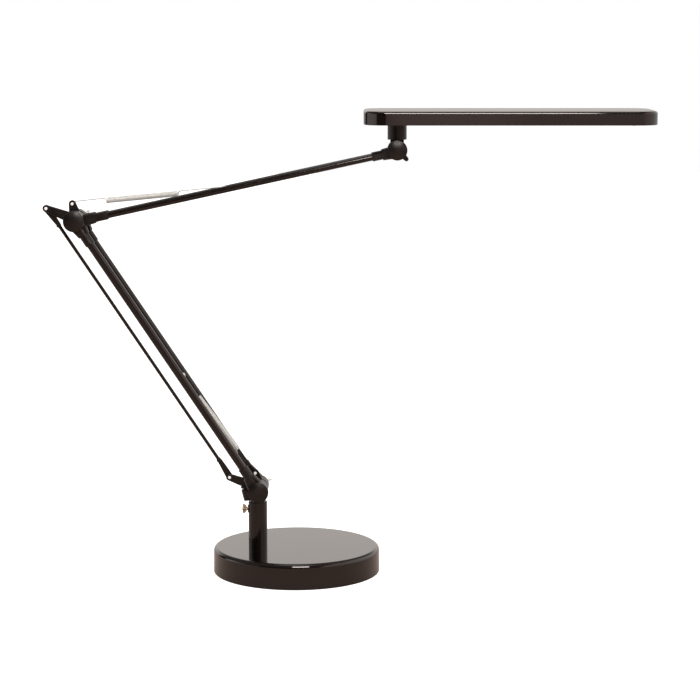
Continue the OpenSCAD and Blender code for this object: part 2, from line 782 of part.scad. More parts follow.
// Ribbed gland for the mains lead. It tapers to its mouth, along +Z, is hollowed to lie
// against the hub and the neck, and straddles the lug plate.
module cord_gland() {
    color(black_plastic) at_lower_hinge() difference() {
        translate([gland_at.x, 0, gland_at.y]) rotate([0, 180 - gland_tilt, 0]) difference() {
            rotate_extrude() polygon([
                [0, 0], [gland_core_r, 0], [gland_core_r, 1.4], [gland_r, 1.4], [gland_r, 3.2],
                [gland_core_r, 3.2], [gland_core_r, 5], [gland_r, 5], [gland_mouth_r, gland_l],
                [0, gland_l]
            ]);
            translate([0, 0, gland_l - gland_bore_l]) cylinder(r = gland_bore_r, h = gland_bore_l + 1);
        }
        bar_y(eye_r + fit_gap, -2 * gland_r, 2 * gland_r);
        translate([-hinge_shift, 0, -2 * gland_l]) cylinder(r = block_neck_r + fit_gap, h = 2 * gland_l);
        slab_y(plate_t + 2 * fit_gap)
            strap([0, 0], strap_root_r + fit_gap, rod_lug, lug_r + fit_gap);
    }
}

// Lower arm

module lower_tube_front() {
    color(black_lacquer) along_lower_arm() translate([0, -lower_half, 0])
        arm_tube(lower_arm_l, lower_tube_r, lower_sleeve_l, lower_sleeve_l, lower_pin_at, 1);
}

module lower_tube_rear() {
    color(black_lacquer) along_lower_arm() translate([0, lower_half, 0])
        arm_tube(lower_arm_l, lower_tube_r, lower_sleeve_l, lower_sleeve_l, lower_pin_at, -1);
}

// Eye of the front (-1) or rear (1) tube, flush towards the middle, where the upper arm is.
module lower_eye(side, at_elbow) {
    color(black_plastic) along_lower_arm()
        translate([0, side * lower_half, at_elbow ? lower_arm_l : 0])
        rotate([at_elbow ? 180 : 0, 0, 0])
        arm_eye(lower_eye_t, lower_tube_r, lower_sleeve_l, lower_neck_root, 0, at_elbow ? side : -side);
}

module lower_base_eye_front() { lower_eye(-1, false); }
module lower_base_eye_rear() { lower_eye(1, false); }
module lower_elbow_eye_front() { lower_eye(-1, true); }
module lower_elbow_eye_rear() { lower_eye(1, true); }

module lower_spring_pin() {
    color(bright_metal) along_lower_arm() translate([0, 0, lower_pin_at]) spring_pin(lower_half);
}

// Elbow

module elbow_bolt() { color(bright_metal) at_elbow() hinge_bolt(lower_eye_out); }
module elbow_cap() { color(black_plastic) at_elbow() hinge_cap(lower_eye_out, cap_d); }

module elbow_clamp_nut() {
    color(bright_metal) at_elbow() clamp_nut(lower_eye_out, 35, lever_reach, lever_tip_r);
}

module elbow_washers() {
    color(bright_metal) at_elbow() {
        hinge_washers(lower_eye_out);
        for (s = [-1, 1]) difference() {
            bar_y(thrust_r, min(s * thrust_in, s * thrust_out), max(s * thrust_in, s * thrust_out));
            bar_y(bolt_r + running_gap, -lower_half, lower_half);
        }
    }
}

module elbow_lug_plate() { color(black_plastic) at_elbow() lug_plate(); }

module elbow_lug_rivets() {
    color("#d8d2c4") at_elbow() {
        lug_rivet(rod_lug, -plate_t / 2 - 0.05, tine_out + 0.1);
        lug_rivet(spring_lug, -plate_t / 2 - 0.05, rivet_hook_y + wire_r + 0.1);
    }
}

// Parallel rod

module along_rod() {
    at_lower_hinge() translate([rod_lug.x, 0, rod_lug.y]) rotate([0, -lower_lean, 0]) children();
}

module parallel_rod() {
    color("black") along_rod() translate([rod_offset, 0, rod_end_step - 0.5])
        cylinder(r = rod_d / 2, h = lower_arm_l - 2 * rod_end_step + 1);
}

module rod_base_end() { color(black_plastic) along_rod() rod_end(rod_offset); }

module rod_elbow_end() {
    color(black_plastic) along_rod() translate([0, 0, lower_arm_l])
        rotate([0, 180, 0]) rod_end(-rod_offset);
}

// Springs and link

module lower_spring() {
    color(bright_metal) translate([lower_pin_x, 0, lower_pin_z]) rotate([0, lower_turn, 0]) wire(lower_path);
}

module upper_spring() {
    color(bright_metal) translate([upper_pin_x, 0, upper_pin_z]) rotate([0, upper_turn, 0]) wire(upper_path);
}

module upper_spring_pin() {
    color(bright_metal) along_upper_arm() translate([upper_drop, 0, upper_pin_at])
        spring_pin(upper_half);
}

// Link from the lug to the lower spring: forked eye, rod with a step, and a plug in the coil.
module lower_spring_link() {
    plug_r = coil_r - wire_r - 0.3;
    color(black_plastic) translate([lower_lug_x, 0, lower_lug_z]) rotate([0, lower_turn + 180, 0])
        difference() {
            union() {
                slab_y(2 * link_tine_out) strap([0, 0], link_eye_r, [0, link_step_at - 3], 2.2);
                cylinder(r = link_d / 2 + 0.5, h = link_step_at);
                cylinder(r = link_d / 2, h = link_l);
                translate([0, 0, link_l - 2]) cylinder(r = min(plug_r, link_d / 2 + 0.2), h = link_plug_l);
            }
            translate([-10, -link_tine_in, -10]) cube([20, 2 * link_tine_in, 16]);
            bar_y(rivet_r + running_gap, -10, 10);
        }
}

// Upper arm

module upper_tube_front() {
    color(black_lacquer) along_upper_arm() translate([upper_drop, -upper_half, 0])
        arm_tube(upper_arm_l, upper_tube_r, upper_sleeve_l, head_sleeve_l, upper_pin_at, 1);
}

module upper_tube_rear() {
    color(black_lacquer) along_upper_arm() translate([upper_drop, upper_half, 0])
        arm_tube(upper_arm_l, upper_tube_r, upper_sleeve_l, head_sleeve_l, upper_pin_at, -1);
}

// Eye of the front (-1) or rear (1) tube, flush outwards, where the lower arm is.
module upper_eye(side, at_head) {
    sleeve_l = at_head ? head_sleeve_l : upper_sleeve_l;
    color(black_plastic) along_upper_arm()
        translate([0, side * upper_half, at_head ? upper_arm_l : 0])
        rotate([at_head ? 180 : 0, 0, 0])
        arm_eye(upper_eye_t, upper_tube_r, sleeve_l, upper_neck_root, upper_drop, at_head ? -side : side);
}

module upper_elbow_eye_front() { upper_eye(-1, false); }
module upper_elbow_eye_rear() { upper_eye(1, false); }
module upper_head_eye_front() { upper_eye(-1, true); }
module upper_head_eye_rear() { upper_eye(1, true); }

// Head hinge

module head_hinge_bolt() { color(bright_metal) at_head_hinge() hinge_bolt(upper_eye_out); }
module head_hinge_cap() { color(black_plastic) at_head_hinge() hinge_cap(upper_eye_out, head_cap_d); }
module head_hinge_washers() { color(bright_metal) at_head_hinge() hinge_washers(upper_eye_out); }
module head_clamp_nut() {
    color(black_plastic) at_head_hinge()
        clamp_nut(upper_eye_out, -47, head_lever_reach, head_lever_tip_r);
}

// Tongue between the upper arm's eyes, with a square neck up to the barrel.
module head_bracket() {
    top = barrel_up - top_gap;
    color(black_plastic) at_head_hinge() difference() {
        union() {
            bar_y(eye_r - 0.5, -tongue_half, tongue_half);
            translate([-bracket_neck_w / 2, -tongue_half, 0]) cube([bracket_neck_w, 2 * tongue_half, top]);
        }
        bar_y(bolt_r + running_gap, -upper_half, upper_half);
        translate([0, 0, top - swivel_thread_l + 1.5]) cylinder(r = swivel_thread_r + fit_gap, h = swivel_thread_l);
    }
}

// Shoulder screw that the head swivels on: its head bears on the barrel, inside the head.
module swivel_pin() {
    top = barrel_up - top_gap;
    color(bright_metal) at_head_hinge() {
        translate([0, 0, top - swivel_thread_l + 2]) cylinder(r = swivel_thread_r, h = swivel_thread_l);
        translate([0, 0, top]) cylinder(r = swivel_pin_r, h = head_up + bezel_t + barrel_flange_t + top_gap - top + 0.5);
        translate([0, 0, head_up + bezel_t + barrel_flange_t + top_gap])
            cylinder(r = swivel_head_r, h = swivel_head_t);
    }
}

// Head

module swivel_barrel() {
    color(black_lacquer) at_head_hinge() difference() {
        union() {
            translate([0, 0, barrel_up]) cylinder(r = barrel_r, h = head_up + bezel_t - barrel_up);
            translate([0, 0, head_up + bezel_t]) cylinder(r = barrel_flange_r, h = barrel_flange_t);
        }
        translate([0, 0, barrel_up - 1]) cylinder(r = swivel_pin_r + running_gap, h = head_up);
    }
}

// Places of the screws that hold the bezel in the housing.
head_screw_places = [for (x = [head_left + head_screw_in, head_left + head_l - head_screw_in],
    s = [-1, 1]) [x, s * (head_w / 2 - head_corner_r + 8)],
    for (s = [-1, 1]) [panel_mid_x, s * (head_w / 2 - head_wall - head_boss_r - 0.6)]];

module head_housing() {
    in_l = head_l - 2 * head_wall;
    in_w = head_w - 2 * head_wall;
    color(gloss_black) difference() {
        union() {
            difference() {
                translate([head_mid_x, 0, head_bottom])
                    soft_slab(head_l, head_w, head_t, head_corner_r, head_edge_r);
                translate([head_mid_x, 0, head_bottom - 1]) linear_extrude(height = head_t - head_wall + 1)
                    round_rect(in_l, in_w, head_corner_r - head_wall);
            }
            for (p = head_screw_places) translate([p.x, p.y, bezel_top + 0.1])
                cylinder(r = head_boss_r, h = head_roof - bezel_top + 0.4);
            for (x = [panel_x + 12, panel_x + panel_l - 12], y = [-panel_w / 2 + 8, panel_w / 2 - 8])
                translate([x, y, board_z + board_t]) cylinder(r = 3, h = head_roof - board_z - board_t + 0.5);
            for (y = [-14, 14]) translate([button_x, y, switch_board_z + switch_board.z])
                cylinder(r = 2.5, h = head_roof - switch_board_z - switch_board.z + 0.5);
        }
        for (p = head_screw_places) translate([p.x, p.y, bezel_top])
            cylinder(r = head_screw_r + fit_gap, h = 6.5);
    }
}

module head_bezel() {
    color(black_plastic) translate([0, 0, head_bottom]) difference() {
        translate([head_mid_x, 0, 0]) linear_extrude(height = bezel_t) round_rect(
            head_l - 2 * head_wall - 2 * fit_gap, head_w - 2 * head_wall - 2 * fit_gap,
            head_corner_r - head_wall - fit_gap);
        translate([panel_mid_x, 0, -1]) linear_extrude(height = bezel_t + 2)
            round_rect(panel_l, panel_w, panel_corner_r);
        translate([head_x, 0, -1]) cylinder(r = barrel_r + fit_gap, h = bezel_t + 2);
        translate([button_x, 0, -1]) cylinder(r = button_d / 2 + 0.2, h = bezel_t + 2);
        for (p = head_screw_places) {
            translate([p.x, p.y, -1]) cylinder(r = head_screw_r + 0.1, h = bezel_t + 2);
            translate([p.x, p.y, -1]) cylinder(r = 2 * head_screw_r, h = 2);
        }
    }
}

// Opal panel, flush in the bezel's window, with a rim that lies on the bezel inside.
module light_panel() {
    color("white") translate([panel_mid_x, 0, 0]) {
        translate([0, 0, head_bottom]) linear_extrude(height = bezel_t + 0.2)
            round_rect(panel_l - 0.3, panel_w - 0.3, panel_corner_r - 0.15);
        translate([0, 0, bezel_top + 0.05]) linear_extrude(height = panel_t)
            round_rect(panel_l + 2 * panel_rim, panel_w + 2 * panel_rim, panel_corner_r + panel_rim);
    }
}

module led_board() {
    color("ivory") translate([panel_mid_x, 0, board_z]) linear_extrude(height = board_t)
        round_rect(panel_l, panel_w, 3);
}

module led_chips() {
    step_x = panel_l / chip_columns;
    step_y = panel_w / chip_rows;
    color("khaki") for (i = [0 : chip_columns - 1], j = [0 : chip_rows - 1])
        translate([panel_x + (i + 0.5) * step_x, (j + 0.5) * step_y - panel_w / 2, board_z - chip.z / 2])
            cube(chip, center = true);
}

// Board over the button, with the switch's body and the driver's parts.
module control_board() {
    color("darkgreen") {
        translate([button_x, 0, switch_board_z]) linear_extrude(height = switch_board.z)
            round_rect(switch_board.x, switch_board.y, 1);
        translate([button_x, 0, switch_board_z + 0.2 - switch_body.z / 2]) cube(switch_body, center = true);
        for (s = [-1, 1]) translate([button_x, s * 15, switch_board_z + 0.1 - switch_part.z / 2])
            cube(switch_part, center = true);
    }
}

module head_screws() {
    color(bright_metal) for (p = head_screw_places) translate([p.x, p.y, head_bottom]) {
        translate([0, 0, 0.1]) cylinder(r = 2 * head_screw_r - 0.1, h = 0.9);
        translate([0, 0, 0.1]) cylinder(r = head_screw_r, h = 7);
    }
}

module switch_button() {
    color("lightgray") translate([button_x, 0, 0]) {
        translate([0, 0, head_bottom - button_out])
            cylinder(r = button_d / 2, h = button_flange_z - head_bottom + button_out + 0.2);
        translate([0, 0, button_flange_z]) cylinder(r = button_flange_r, h = button_flange_t);
    }
}

base_cover();
base_weight();
bottom_plate();
foot_pad();
base_screws();
post_tube();
post_foot_plug();
post_bolt();
post_bush();
thumb_screw();
swivel_block();
swivel_spigot();
base_lug_plate();
base_lug_rivets();
base_hinge_bolt();
base_hinge_cap();
base_hinge_washers();
cord_gland();
base_clamp_nut();
lower_tube_front();
lower_tube_rear();
lower_base_eye_front();
lower_base_eye_rear();
lower_elbow_eye_front();
lower_elbow_eye_rear();
lower_spring_pin();
elbow_bolt();
elbow_cap();
elbow_washers();
elbow_clamp_nut();
parallel_rod();
rod_base_end();
rod_elbow_end();
lower_spring();
lower_spring_link();
elbow_lug_plate();
elbow_lug_rivets();
upper_tube_front();
upper_tube_rear();
upper_elbow_eye_front();
upper_elbow_eye_rear();
upper_head_eye_front();
upper_head_eye_rear();
upper_spring_pin();
upper_spring();
head_hinge_bolt();
head_hinge_cap();
head_hinge_washers();
head_clamp_nut();
head_bracket();
swivel_pin();
swivel_barrel();
head_housing();
head_bezel();
light_panel();
led_board();
led_chips();
control_board();
head_screws();
switch_button();
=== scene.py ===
"""Looks of a desk lamp with a flat lighting head: surfaces, finishes, light and camera."""

import json
import math

import bpy
import numpy as np
from bpy.props import FloatProperty, FloatVectorProperty, IntProperty, PointerProperty
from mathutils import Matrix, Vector


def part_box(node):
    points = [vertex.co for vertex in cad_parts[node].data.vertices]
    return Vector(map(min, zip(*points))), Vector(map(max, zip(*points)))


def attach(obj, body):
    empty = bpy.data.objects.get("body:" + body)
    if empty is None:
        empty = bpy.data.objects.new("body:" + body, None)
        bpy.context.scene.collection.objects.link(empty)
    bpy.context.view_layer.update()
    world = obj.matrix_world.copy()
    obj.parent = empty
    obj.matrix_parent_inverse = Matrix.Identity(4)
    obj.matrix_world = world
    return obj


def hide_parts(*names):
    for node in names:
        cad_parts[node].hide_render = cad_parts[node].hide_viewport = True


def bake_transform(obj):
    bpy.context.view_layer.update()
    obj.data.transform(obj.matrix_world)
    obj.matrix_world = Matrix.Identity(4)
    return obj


bl_info = {
    "name": "Desk lamp",
    "version": (1, 0, 0),
    "blender": (4, 5, 0),
    "location": "3D View > Sidebar > Desk lamp",
    "description": "Dresses the packed desk lamp with its surfaces, finishes, light and camera",
    "category": "Object",
}

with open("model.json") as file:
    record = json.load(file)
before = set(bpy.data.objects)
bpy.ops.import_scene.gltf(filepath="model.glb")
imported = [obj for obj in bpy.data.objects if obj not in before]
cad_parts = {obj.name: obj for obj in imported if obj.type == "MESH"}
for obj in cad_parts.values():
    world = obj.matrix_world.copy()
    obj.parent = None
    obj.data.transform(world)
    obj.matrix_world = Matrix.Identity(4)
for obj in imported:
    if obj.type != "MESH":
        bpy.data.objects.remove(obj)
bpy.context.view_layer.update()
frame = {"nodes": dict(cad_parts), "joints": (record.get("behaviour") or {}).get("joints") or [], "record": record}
MM = 0.001
SAME_PLACE = 1e-6 * MM  # points closer together than this are one
TAU = 2 * math.pi
X, Y, Z = np.eye(3)


# Places that the packed model gives


def joint_place(name):
    """Where the named joint turns, in metres."""
    return np.array(next(j["pos_m"] for j in frame["joints"] if j["name"] == name))


def box_of(node):
    """Lowest corner, highest corner and middle of a packed node, in metres."""
    low, high = (np.array(corner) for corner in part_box(node))
    return low, high, (low + high) / 2


LOWER_HINGE = joint_place("lower_arm_tilt")
ELBOW = joint_place("elbow_plate_turn")
HEAD_HINGE = joint_place("head_tilt")
LOWER_PIN = joint_place("lower_spring_turn")
LOWER_LUG = joint_place("lower_link_turn")
ROD_LUG = joint_place("rod_turn")
UPPER_PIN = box_of("upper_spring_pin")[2]
UPPER_LUG = ELBOW + LOWER_LUG - LOWER_HINGE


# Sizes and colours that the panel offers


def length_setting(name, description, default, least):
    """Setting for a length, whose default and least value are given in millimetres."""
    return FloatProperty(
        name=name, description=description, default=default * MM, min=least * MM, unit="LENGTH"
    )


def turns_setting(name, description, default):
    """Setting for a spring's number of turns."""
    return IntProperty(name=name, description=description, default=default, min=10)


def colour_setting(name, description, default):
    """Setting for the colour of a finish."""
    return FloatVectorProperty(
        name=name, description=description, subtype="COLOR", default=default
    )


def power_setting(name, description, default):
    """Setting for the power of a lamp in the studio, in watts."""
    return FloatProperty(name=name, description=description, default=default, min=0)


class BaseSettings(bpy.types.PropertyGroup):
    """Sizes of the round base cover."""

    rim: length_setting("Rim radius", "Radius of the rounded rim of the base", 5, 0.5)
    wall: length_setting("Wall", "Thickness of the cover's wall", 2.5, 0.5)


class HeadSettings(bpy.types.PropertyGroup):
    """Sizes of the flat head's housing."""

    corner: length_setting("Corner radius", "Radius of the head's corners, seen from above", 25, 1)
    edge: length_setting("Edge radius", "Radius of the rounded top edge", 3, 0.2)
    wall: length_setting("Wall", "Thickness of the housing's wall", 2.2, 0.5)


class HingeSettings(bpy.types.PropertyGroup):
    """Sizes of the hinge caps, the lug plates, the clamp nuts and the wing screw."""

    dome: length_setting("Cap dome", "Height of the dome on each hinge cap", 2, 0.1)
    cap_rim: length_setting("Cap rim", "Radius of the rounded rim of each hinge cap", 0.9, 0.1)
    plate_edge: length_setting(
        "Plate edge", "Radius of the broken edges of the lug plates", 0.45, 0.05
    )
    lever: length_setting(
        "Lever reach", "Distance from a clamp nut's middle to the tip of its lever", 15.5, 8
    )
    head_lever: length_setting(
        "Head lever reach", "The same distance on the head's nut, whose lever is longer", 19, 8
    )
    wing_span: length_setting(
        "Wing span", "Height of the thumb screw's wings from tip to tip", 11, 5
    )


class SpringSettings(bpy.types.PropertyGroup):
    """Sizes of the two tension springs."""

    wire: length_setting("Wire", "Diameter of the spring wire", 1.3, 0.3)
    width: length_setting("Width", "Outside diameter of the springs", 6.9, 3)
    pitch: length_setting("Pitch", "Distance from one turn to the next", 1.37, 1)
    lower_turns: turns_setting("Lower turns", "Number of turns of the lower spring", 56)
    upper_turns: turns_setting("Upper turns", "Number of turns of the upper spring", 61)
    lower_leg: length_setting(
        "Lower leg", "Length from the lower spring's coil to its lug, which the link fills", 35, 10
    )
    upper_leg: length_setting(
        "Upper leg", "Length of the upper spring's straight leg to its lug", 39.5, 10
    )


class FinishSettings(bpy.types.PropertyGroup):
    """Colours of the lamp's finishes."""

    gloss: colour_setting(
        "Gloss black", "Colour of the base cover and the head", (0.003, 0.002, 0.0016)
    )
    lacquer: colour_setting(
        "Black lacquer", "Colour of the post, the tubes and the swivel", (0.003, 0.002, 0.0015)
    )
    plastic: colour_setting(
        "Black plastic", "Colour of the hinge fittings", (0.0036, 0.0024, 0.002)
    )
    steel: colour_setting(
        "Steel", "Colour of the bolts, washers and clamp nuts", (0.95, 0.94, 0.91)
    )
    brass: colour_setting("Brass", "Colour of the wing screw", (0.66, 0.57, 0.42))


class StudioSettings(bpy.types.PropertyGroup):
    """Camera and light."""

    camera_place: FloatVectorProperty(
        name="Camera",
        description="Where the camera stands",
        subtype="TRANSLATION",
        default=(0.063, -2.5309, 0.637),
    )
    camera_down: FloatProperty(
        name="Camera tilt",
        description="How far the camera looks down",
        default=math.radians(8.413),
        subtype="ANGLE",
    )
    lens: FloatProperty(
        name="Lens",
        description="Focal length on a sensor 36 mm wide",
        default=112.94,
        unit="CAMERA",
    )
    softbox: power_setting(
        "Softbox power", "Power of the softbox above and in front of the lamp, in watts", 31.0
    )
    fill: power_setting("Fill power", "Power of the broad light over the lamp, in watts", 5.0)


# Surfaces


def unit(vectors):
    """Vectors over their own lengths."""
    return vectors / np.linalg.norm(vectors, axis=-1, keepdims=True)


def rounded(corners, radii, steps=8, ease=0.12 * MM):
    """Profile with an arc at each inner corner.

    Each arc touches both sides: its centre lies on the bisector, radius / sin(half the
    corner's angle) from the corner. One more point a little way along each side keeps the
    flats flat under smooth shading.
    """
    corners = np.asarray(corners, float)
    radii = np.broadcast_to(radii, len(corners) - 2)[:, None]
    corner = corners[1:-1]
    back = unit(corners[:-2] - corner)
    on = unit(corners[2:] - corner)
    half = np.arccos(np.clip((back * on).sum(1), -1, 1))[:, None] / 2
    centre = corner + unit(back + on) * radii / np.sin(half)
    start = corner + back * radii / np.tan(half)
    end = corner + on * radii / np.tan(half)
    sweep = math.pi - 2 * half[:, None]
    share = np.linspace(0, 1, steps)[None, :, None]
    arc = centre[:, None] + (
        np.sin((1 - share) * sweep) * (start - centre)[:, None]
        + np.sin(share * sweep) * (end - centre)[:, None]
    ) / np.sin(sweep)
    eased = [(start + back * ease)[:, None], arc, (end + on * ease)[:, None]]
    inner = np.concatenate(eased, axis=1).reshape(-1, 2)
    return np.vstack([corners[:1], inner, corners[-1:]])


def revolve(profile, centre, axis, around=96):
    """Surface of revolution: (r, h) goes to centre + h axis + r (cos a, sin a) across it."""
    side = unit(np.cross(axis, X if abs(axis[0]) < 0.7 else Z))
    other = np.cross(axis, side)
    angle = np.arange(around)[None, :, None] / around * TAU
    r, h = profile[:, 0, None, None], profile[:, 1, None, None]
    return centre + h * axis + r * (np.cos(angle) * side + np.sin(angle) * other)


def tube(path, outward, radius, sides=10):
    """Round tube along a path: at each point a ring in the plane of the outward direction,
    made square to the path, and its cross product with the path. Each end closes over a
    smaller ring, the rim, and a point."""
    rim_size, rim_out, point_out = 0.7 * radius, 0.2 * radius, 0.35 * radius
    way = unit(np.gradient(path, axis=0))
    first = unit(outward - (outward * way).sum(1, keepdims=True) * way)
    second = np.cross(way, first)
    angle = np.arange(sides)[None, :, None] / sides * TAU
    ring = np.cos(angle) * first[:, None] + np.sin(angle) * second[:, None]
    ends = []
    for k, out in ((0, -way[0]), (-1, way[-1])):
        point = np.tile(path[k] + point_out * out, (sides, 1))
        ends.append(np.stack([point, path[k] + rim_out * out + rim_size * ring[k]]))
    return np.concatenate([ends[0], path[:, None] + radius * ring, ends[1][::-1]])


def strap_reach(angle, a, ra, b, rb):
    """How far a ray from the origin goes in a strap that tapers from circle a to circle b.

    Circles slide along the strap, and a ray at angle t leaves the circle round c at
    c.u + sqrt(r^2 - (c x u)^2), with u = (cos t, sin t). The farthest such point counts.
    """
    share = np.linspace(0, 1, 240)[:, None]
    a, b = np.asarray(a, float), np.asarray(b, float)
    cx, cz = a[0] + share * (b[0] - a[0]), a[1] + share * (b[1] - a[1])
    r = ra + share * (rb - ra)
    along = cx * np.cos(angle) + cz * np.sin(angle)
    aside = cx * np.sin(angle) - cz * np.cos(angle)
    left = r**2 - aside**2
    return np.where(left > 0, along + np.sqrt(np.maximum(left, 0)), 0).max(0)


def plate(outline, y0, y1, edge, centre, steps=5):
    """Plate with an outline in X and Z from y0 to y1, whose edges are quarter circles.

    The outline runs clockwise, seen from the front. Each row is the outline drawn in along
    its normals, by edge (1 - sin t) on its way out, and the flats close on the outline's
    origin.
    """
    along = np.roll(outline, -1, axis=0) - np.roll(outline, 1, axis=0)
    normal = unit(np.stack([-along[:, 1], along[:, 0]], axis=1))
    turn = np.linspace(0, math.pi / 2, steps)
    inset = np.concatenate([[edge * 1.5], edge * (1 - np.sin(turn))])
    height = np.concatenate([[0], edge * (1 - np.cos(turn))])
    inset = np.concatenate([inset, inset[::-1]])
    height = np.concatenate([y0 + height, (y1 - height)[::-1]])
    flat = outline[None] - inset[:, None, None] * normal[None]
    rows = np.stack(
        [flat[..., 0], np.broadcast_to(height[:, None], flat.shape[:2]), flat[..., 1]], axis=-1
    )
    poles = np.zeros((2, 1, 3))
    poles[:, 0, 1] = y0, y1
    poles = np.repeat(poles, len(outline), axis=1)
    return centre + np.concatenate([poles[:1], rows, poles[1:]])


def skin(rows):
    """Closed triangle mesh over rows of points that run round: quads between rows, split in
    two. A row whose points all meet becomes one point, and the faces are turned outwards by
    the sign of the volume they hold."""
    count, around = rows.shape[:2]
    index = np.arange(count * around).reshape(count, around)
    pole = np.ptp(rows, axis=1).max(axis=1) < SAME_PLACE
    index[pole] = index[pole][:, :1]
    a, b = index[:-1], index[1:]
    c, d = np.roll(b, -1, axis=1), np.roll(a, -1, axis=1)
    faces = np.concatenate([np.stack([a, b, c], -1), np.stack([a, c, d], -1)]).reshape(-1, 3)
    doubled = (faces == np.roll(faces, 1, axis=1)).any(axis=1)
    faces = faces[~doubled]
    used, faces = np.unique(faces, return_inverse=True)
    faces = faces.reshape(-1, 3)
    points = rows.reshape(-1, 3)[used]
    corner = points[faces] - points.mean(axis=0)
    volume = (np.cross(corner[:, 0], corner[:, 1]) * corner[:, 2]).sum()
    return points, faces if volume > 0 else faces[:, ::-1]


def make_piece(name, surfaces, body, slot, replaced, sharp=40):
    """One object from several closed surfaces, with the finish of its slot. It rides on a
    body of the packed model if one is given, and takes the place of the replaced nodes."""
    skins = [skin(rows) for rows in surfaces]
    starts = np.cumsum([0] + [len(points) for points, _ in skins[:-1]])
    points = np.concatenate([points for points, _ in skins])
    faces = np.concatenate([faces + start for (_, faces), start in zip(skins, starts)])
    mesh = bpy.data.meshes.new(name)
    mesh.from_pydata(points.tolist(), [], faces.tolist())
    mesh.shade_smooth()
    mesh.set_sharp_from_angle(angle=math.radians(sharp))
    mesh.materials.append(finishes()[slot])
    piece = bpy.data.objects.new(name, mesh)
    bpy.context.scene.collection.objects.link(piece)
    if body:
        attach(piece, body)
    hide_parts(*replaced)
    return piece


# Finishes

NOISE_RANGE = (0.35, 0.65)  # most of a noise texture's values lie here


def each(starts, ends):
    """Node names with every start and every end."""
    return [f"{start}_{end}" for start in starts for end in ends]


SLOTS = {
    "gloss_black": ["base_cover", "head_housing"],
    "black_lacquer": [
        "post_tube",
        *each(("lower_tube", "upper_tube"), ("front", "rear")),
        "base_lug_plate",
        "elbow_lug_plate",
        "parallel_rod",
    ],
    "black_plastic": [
        "post_bush",
        "swivel_block",
        "base_hinge_cap",
        "cord_gland",
        *each(("lower_base_eye", "lower_elbow_eye"), ("front", "rear")),
        *each(("upper_elbow_eye", "upper_head_eye"), ("front", "rear")),
        "elbow_cap",
        "rod_base_end",
        "rod_elbow_end",
        "lower_spring_link",
        "head_hinge_cap",
        "head_bracket",
        "swivel_barrel",
        "head_bezel",
        "head_clamp_nut",
    ],
    "bright_steel": [
        "bottom_plate",
        "base_screws",
        "post_foot_plug",
        "post_bolt",
        "swivel_spigot",
        *each(("base_hinge", "elbow", "head_hinge"), ("bolt", "washers")),
        "base_clamp_nut",
        "elbow_clamp_nut",
        "lower_spring_pin",
        "upper_spring_pin",
        "swivel_pin",
        "head_screws",
    ],
    "spring_steel": ["lower_spring", "upper_spring"],
    "rivet_steel": ["base_lug_rivets", "elbow_lug_rivets"],
    "brass": ["thumb_screw"],
    "weight_iron": ["base_weight"],
    "pad_rubber": ["foot_pad"],
    "opal": ["light_panel"],
    "board_white": ["led_board"],
    "board_green": ["control_board"],
    "chip_yellow": ["led_chips"],
    "button_grey": ["switch_button"],
}


def new_material(name, base, roughness, metallic=0.0, ior=1.5, coat=0.0, coat_roughness=0.03):
    """Material with a Principled shader, whose even values stand on its own sockets."""
    material = bpy.data.materials.new(name)
    material.use_nodes = True
    shader = material.node_tree.nodes["Principled BSDF"]
    shader.inputs["Base Color"].default_value = (*base, 1)
    shader.inputs["Roughness"].default_value = roughness
    shader.inputs["Metallic"].default_value = metallic
    shader.inputs["IOR"].default_value = ior
    shader.inputs["Coat Weight"].default_value = coat
    shader.inputs["Coat Roughness"].default_value = coat_roughness
    return material, shader


def pattern(material, scale, detail, stretch=(1, 1, 1)):
    """Noise on object coordinates, so many to the metre, squeezed by stretch."""
    nodes, links = material.node_tree.nodes, material.node_tree.links
    where = nodes.new("ShaderNodeTexCoord")
    mapping = nodes.new("ShaderNodeMapping")
    mapping.inputs["Scale"].default_value = stretch
    noise = nodes.new("ShaderNodeTexNoise")
    noise.inputs["Scale"].default_value = scale
    noise.inputs["Detail"].default_value = detail
    links.new(where.outputs["Object"], mapping.inputs["Vector"])
    links.new(mapping.outputs["Vector"], noise.inputs["Vector"])
    return noise.outputs["Fac"]


def tint(material, factor, low, high, floor, ceiling):
    """Colours from low to high as the pattern runs from floor to ceiling."""
    ramp = material.node_tree.nodes.new("ShaderNodeValToRGB")
    for end, place, colour in zip(ramp.color_ramp.elements, (floor, ceiling), (low, high)):
        end.position = place
        end.color = (*colour, 1)
    material.node_tree.links.new(factor, ramp.inputs["Fac"])
    return ramp.outputs["Color"]


def ranged(tree, value, from_low, from_high, low, high):
    """A value carried from one range to another, and held at its ends."""
    node = tree.nodes.new("ShaderNodeMapRange")
    ends = {"From Min": from_low, "From Max": from_high, "To Min": low, "To Max": high}
    for name, number in ends.items():
        node.inputs[name].default_value = number
    tree.links.new(value, node.inputs["Value"])
    return node.outputs["Result"]


def relief(material, shader, factor, depth):
    """Bump of the pattern, so deep in metres."""
    bump = material.node_tree.nodes.new("ShaderNodeBump")
    bump.inputs["Distance"].default_value = depth
    bump.inputs["Strength"].default_value = 1.0
    material.node_tree.links.new(factor, bump.inputs["Height"])
    material.node_tree.links.new(bump.outputs["Normal"], shader.inputs["Normal"])


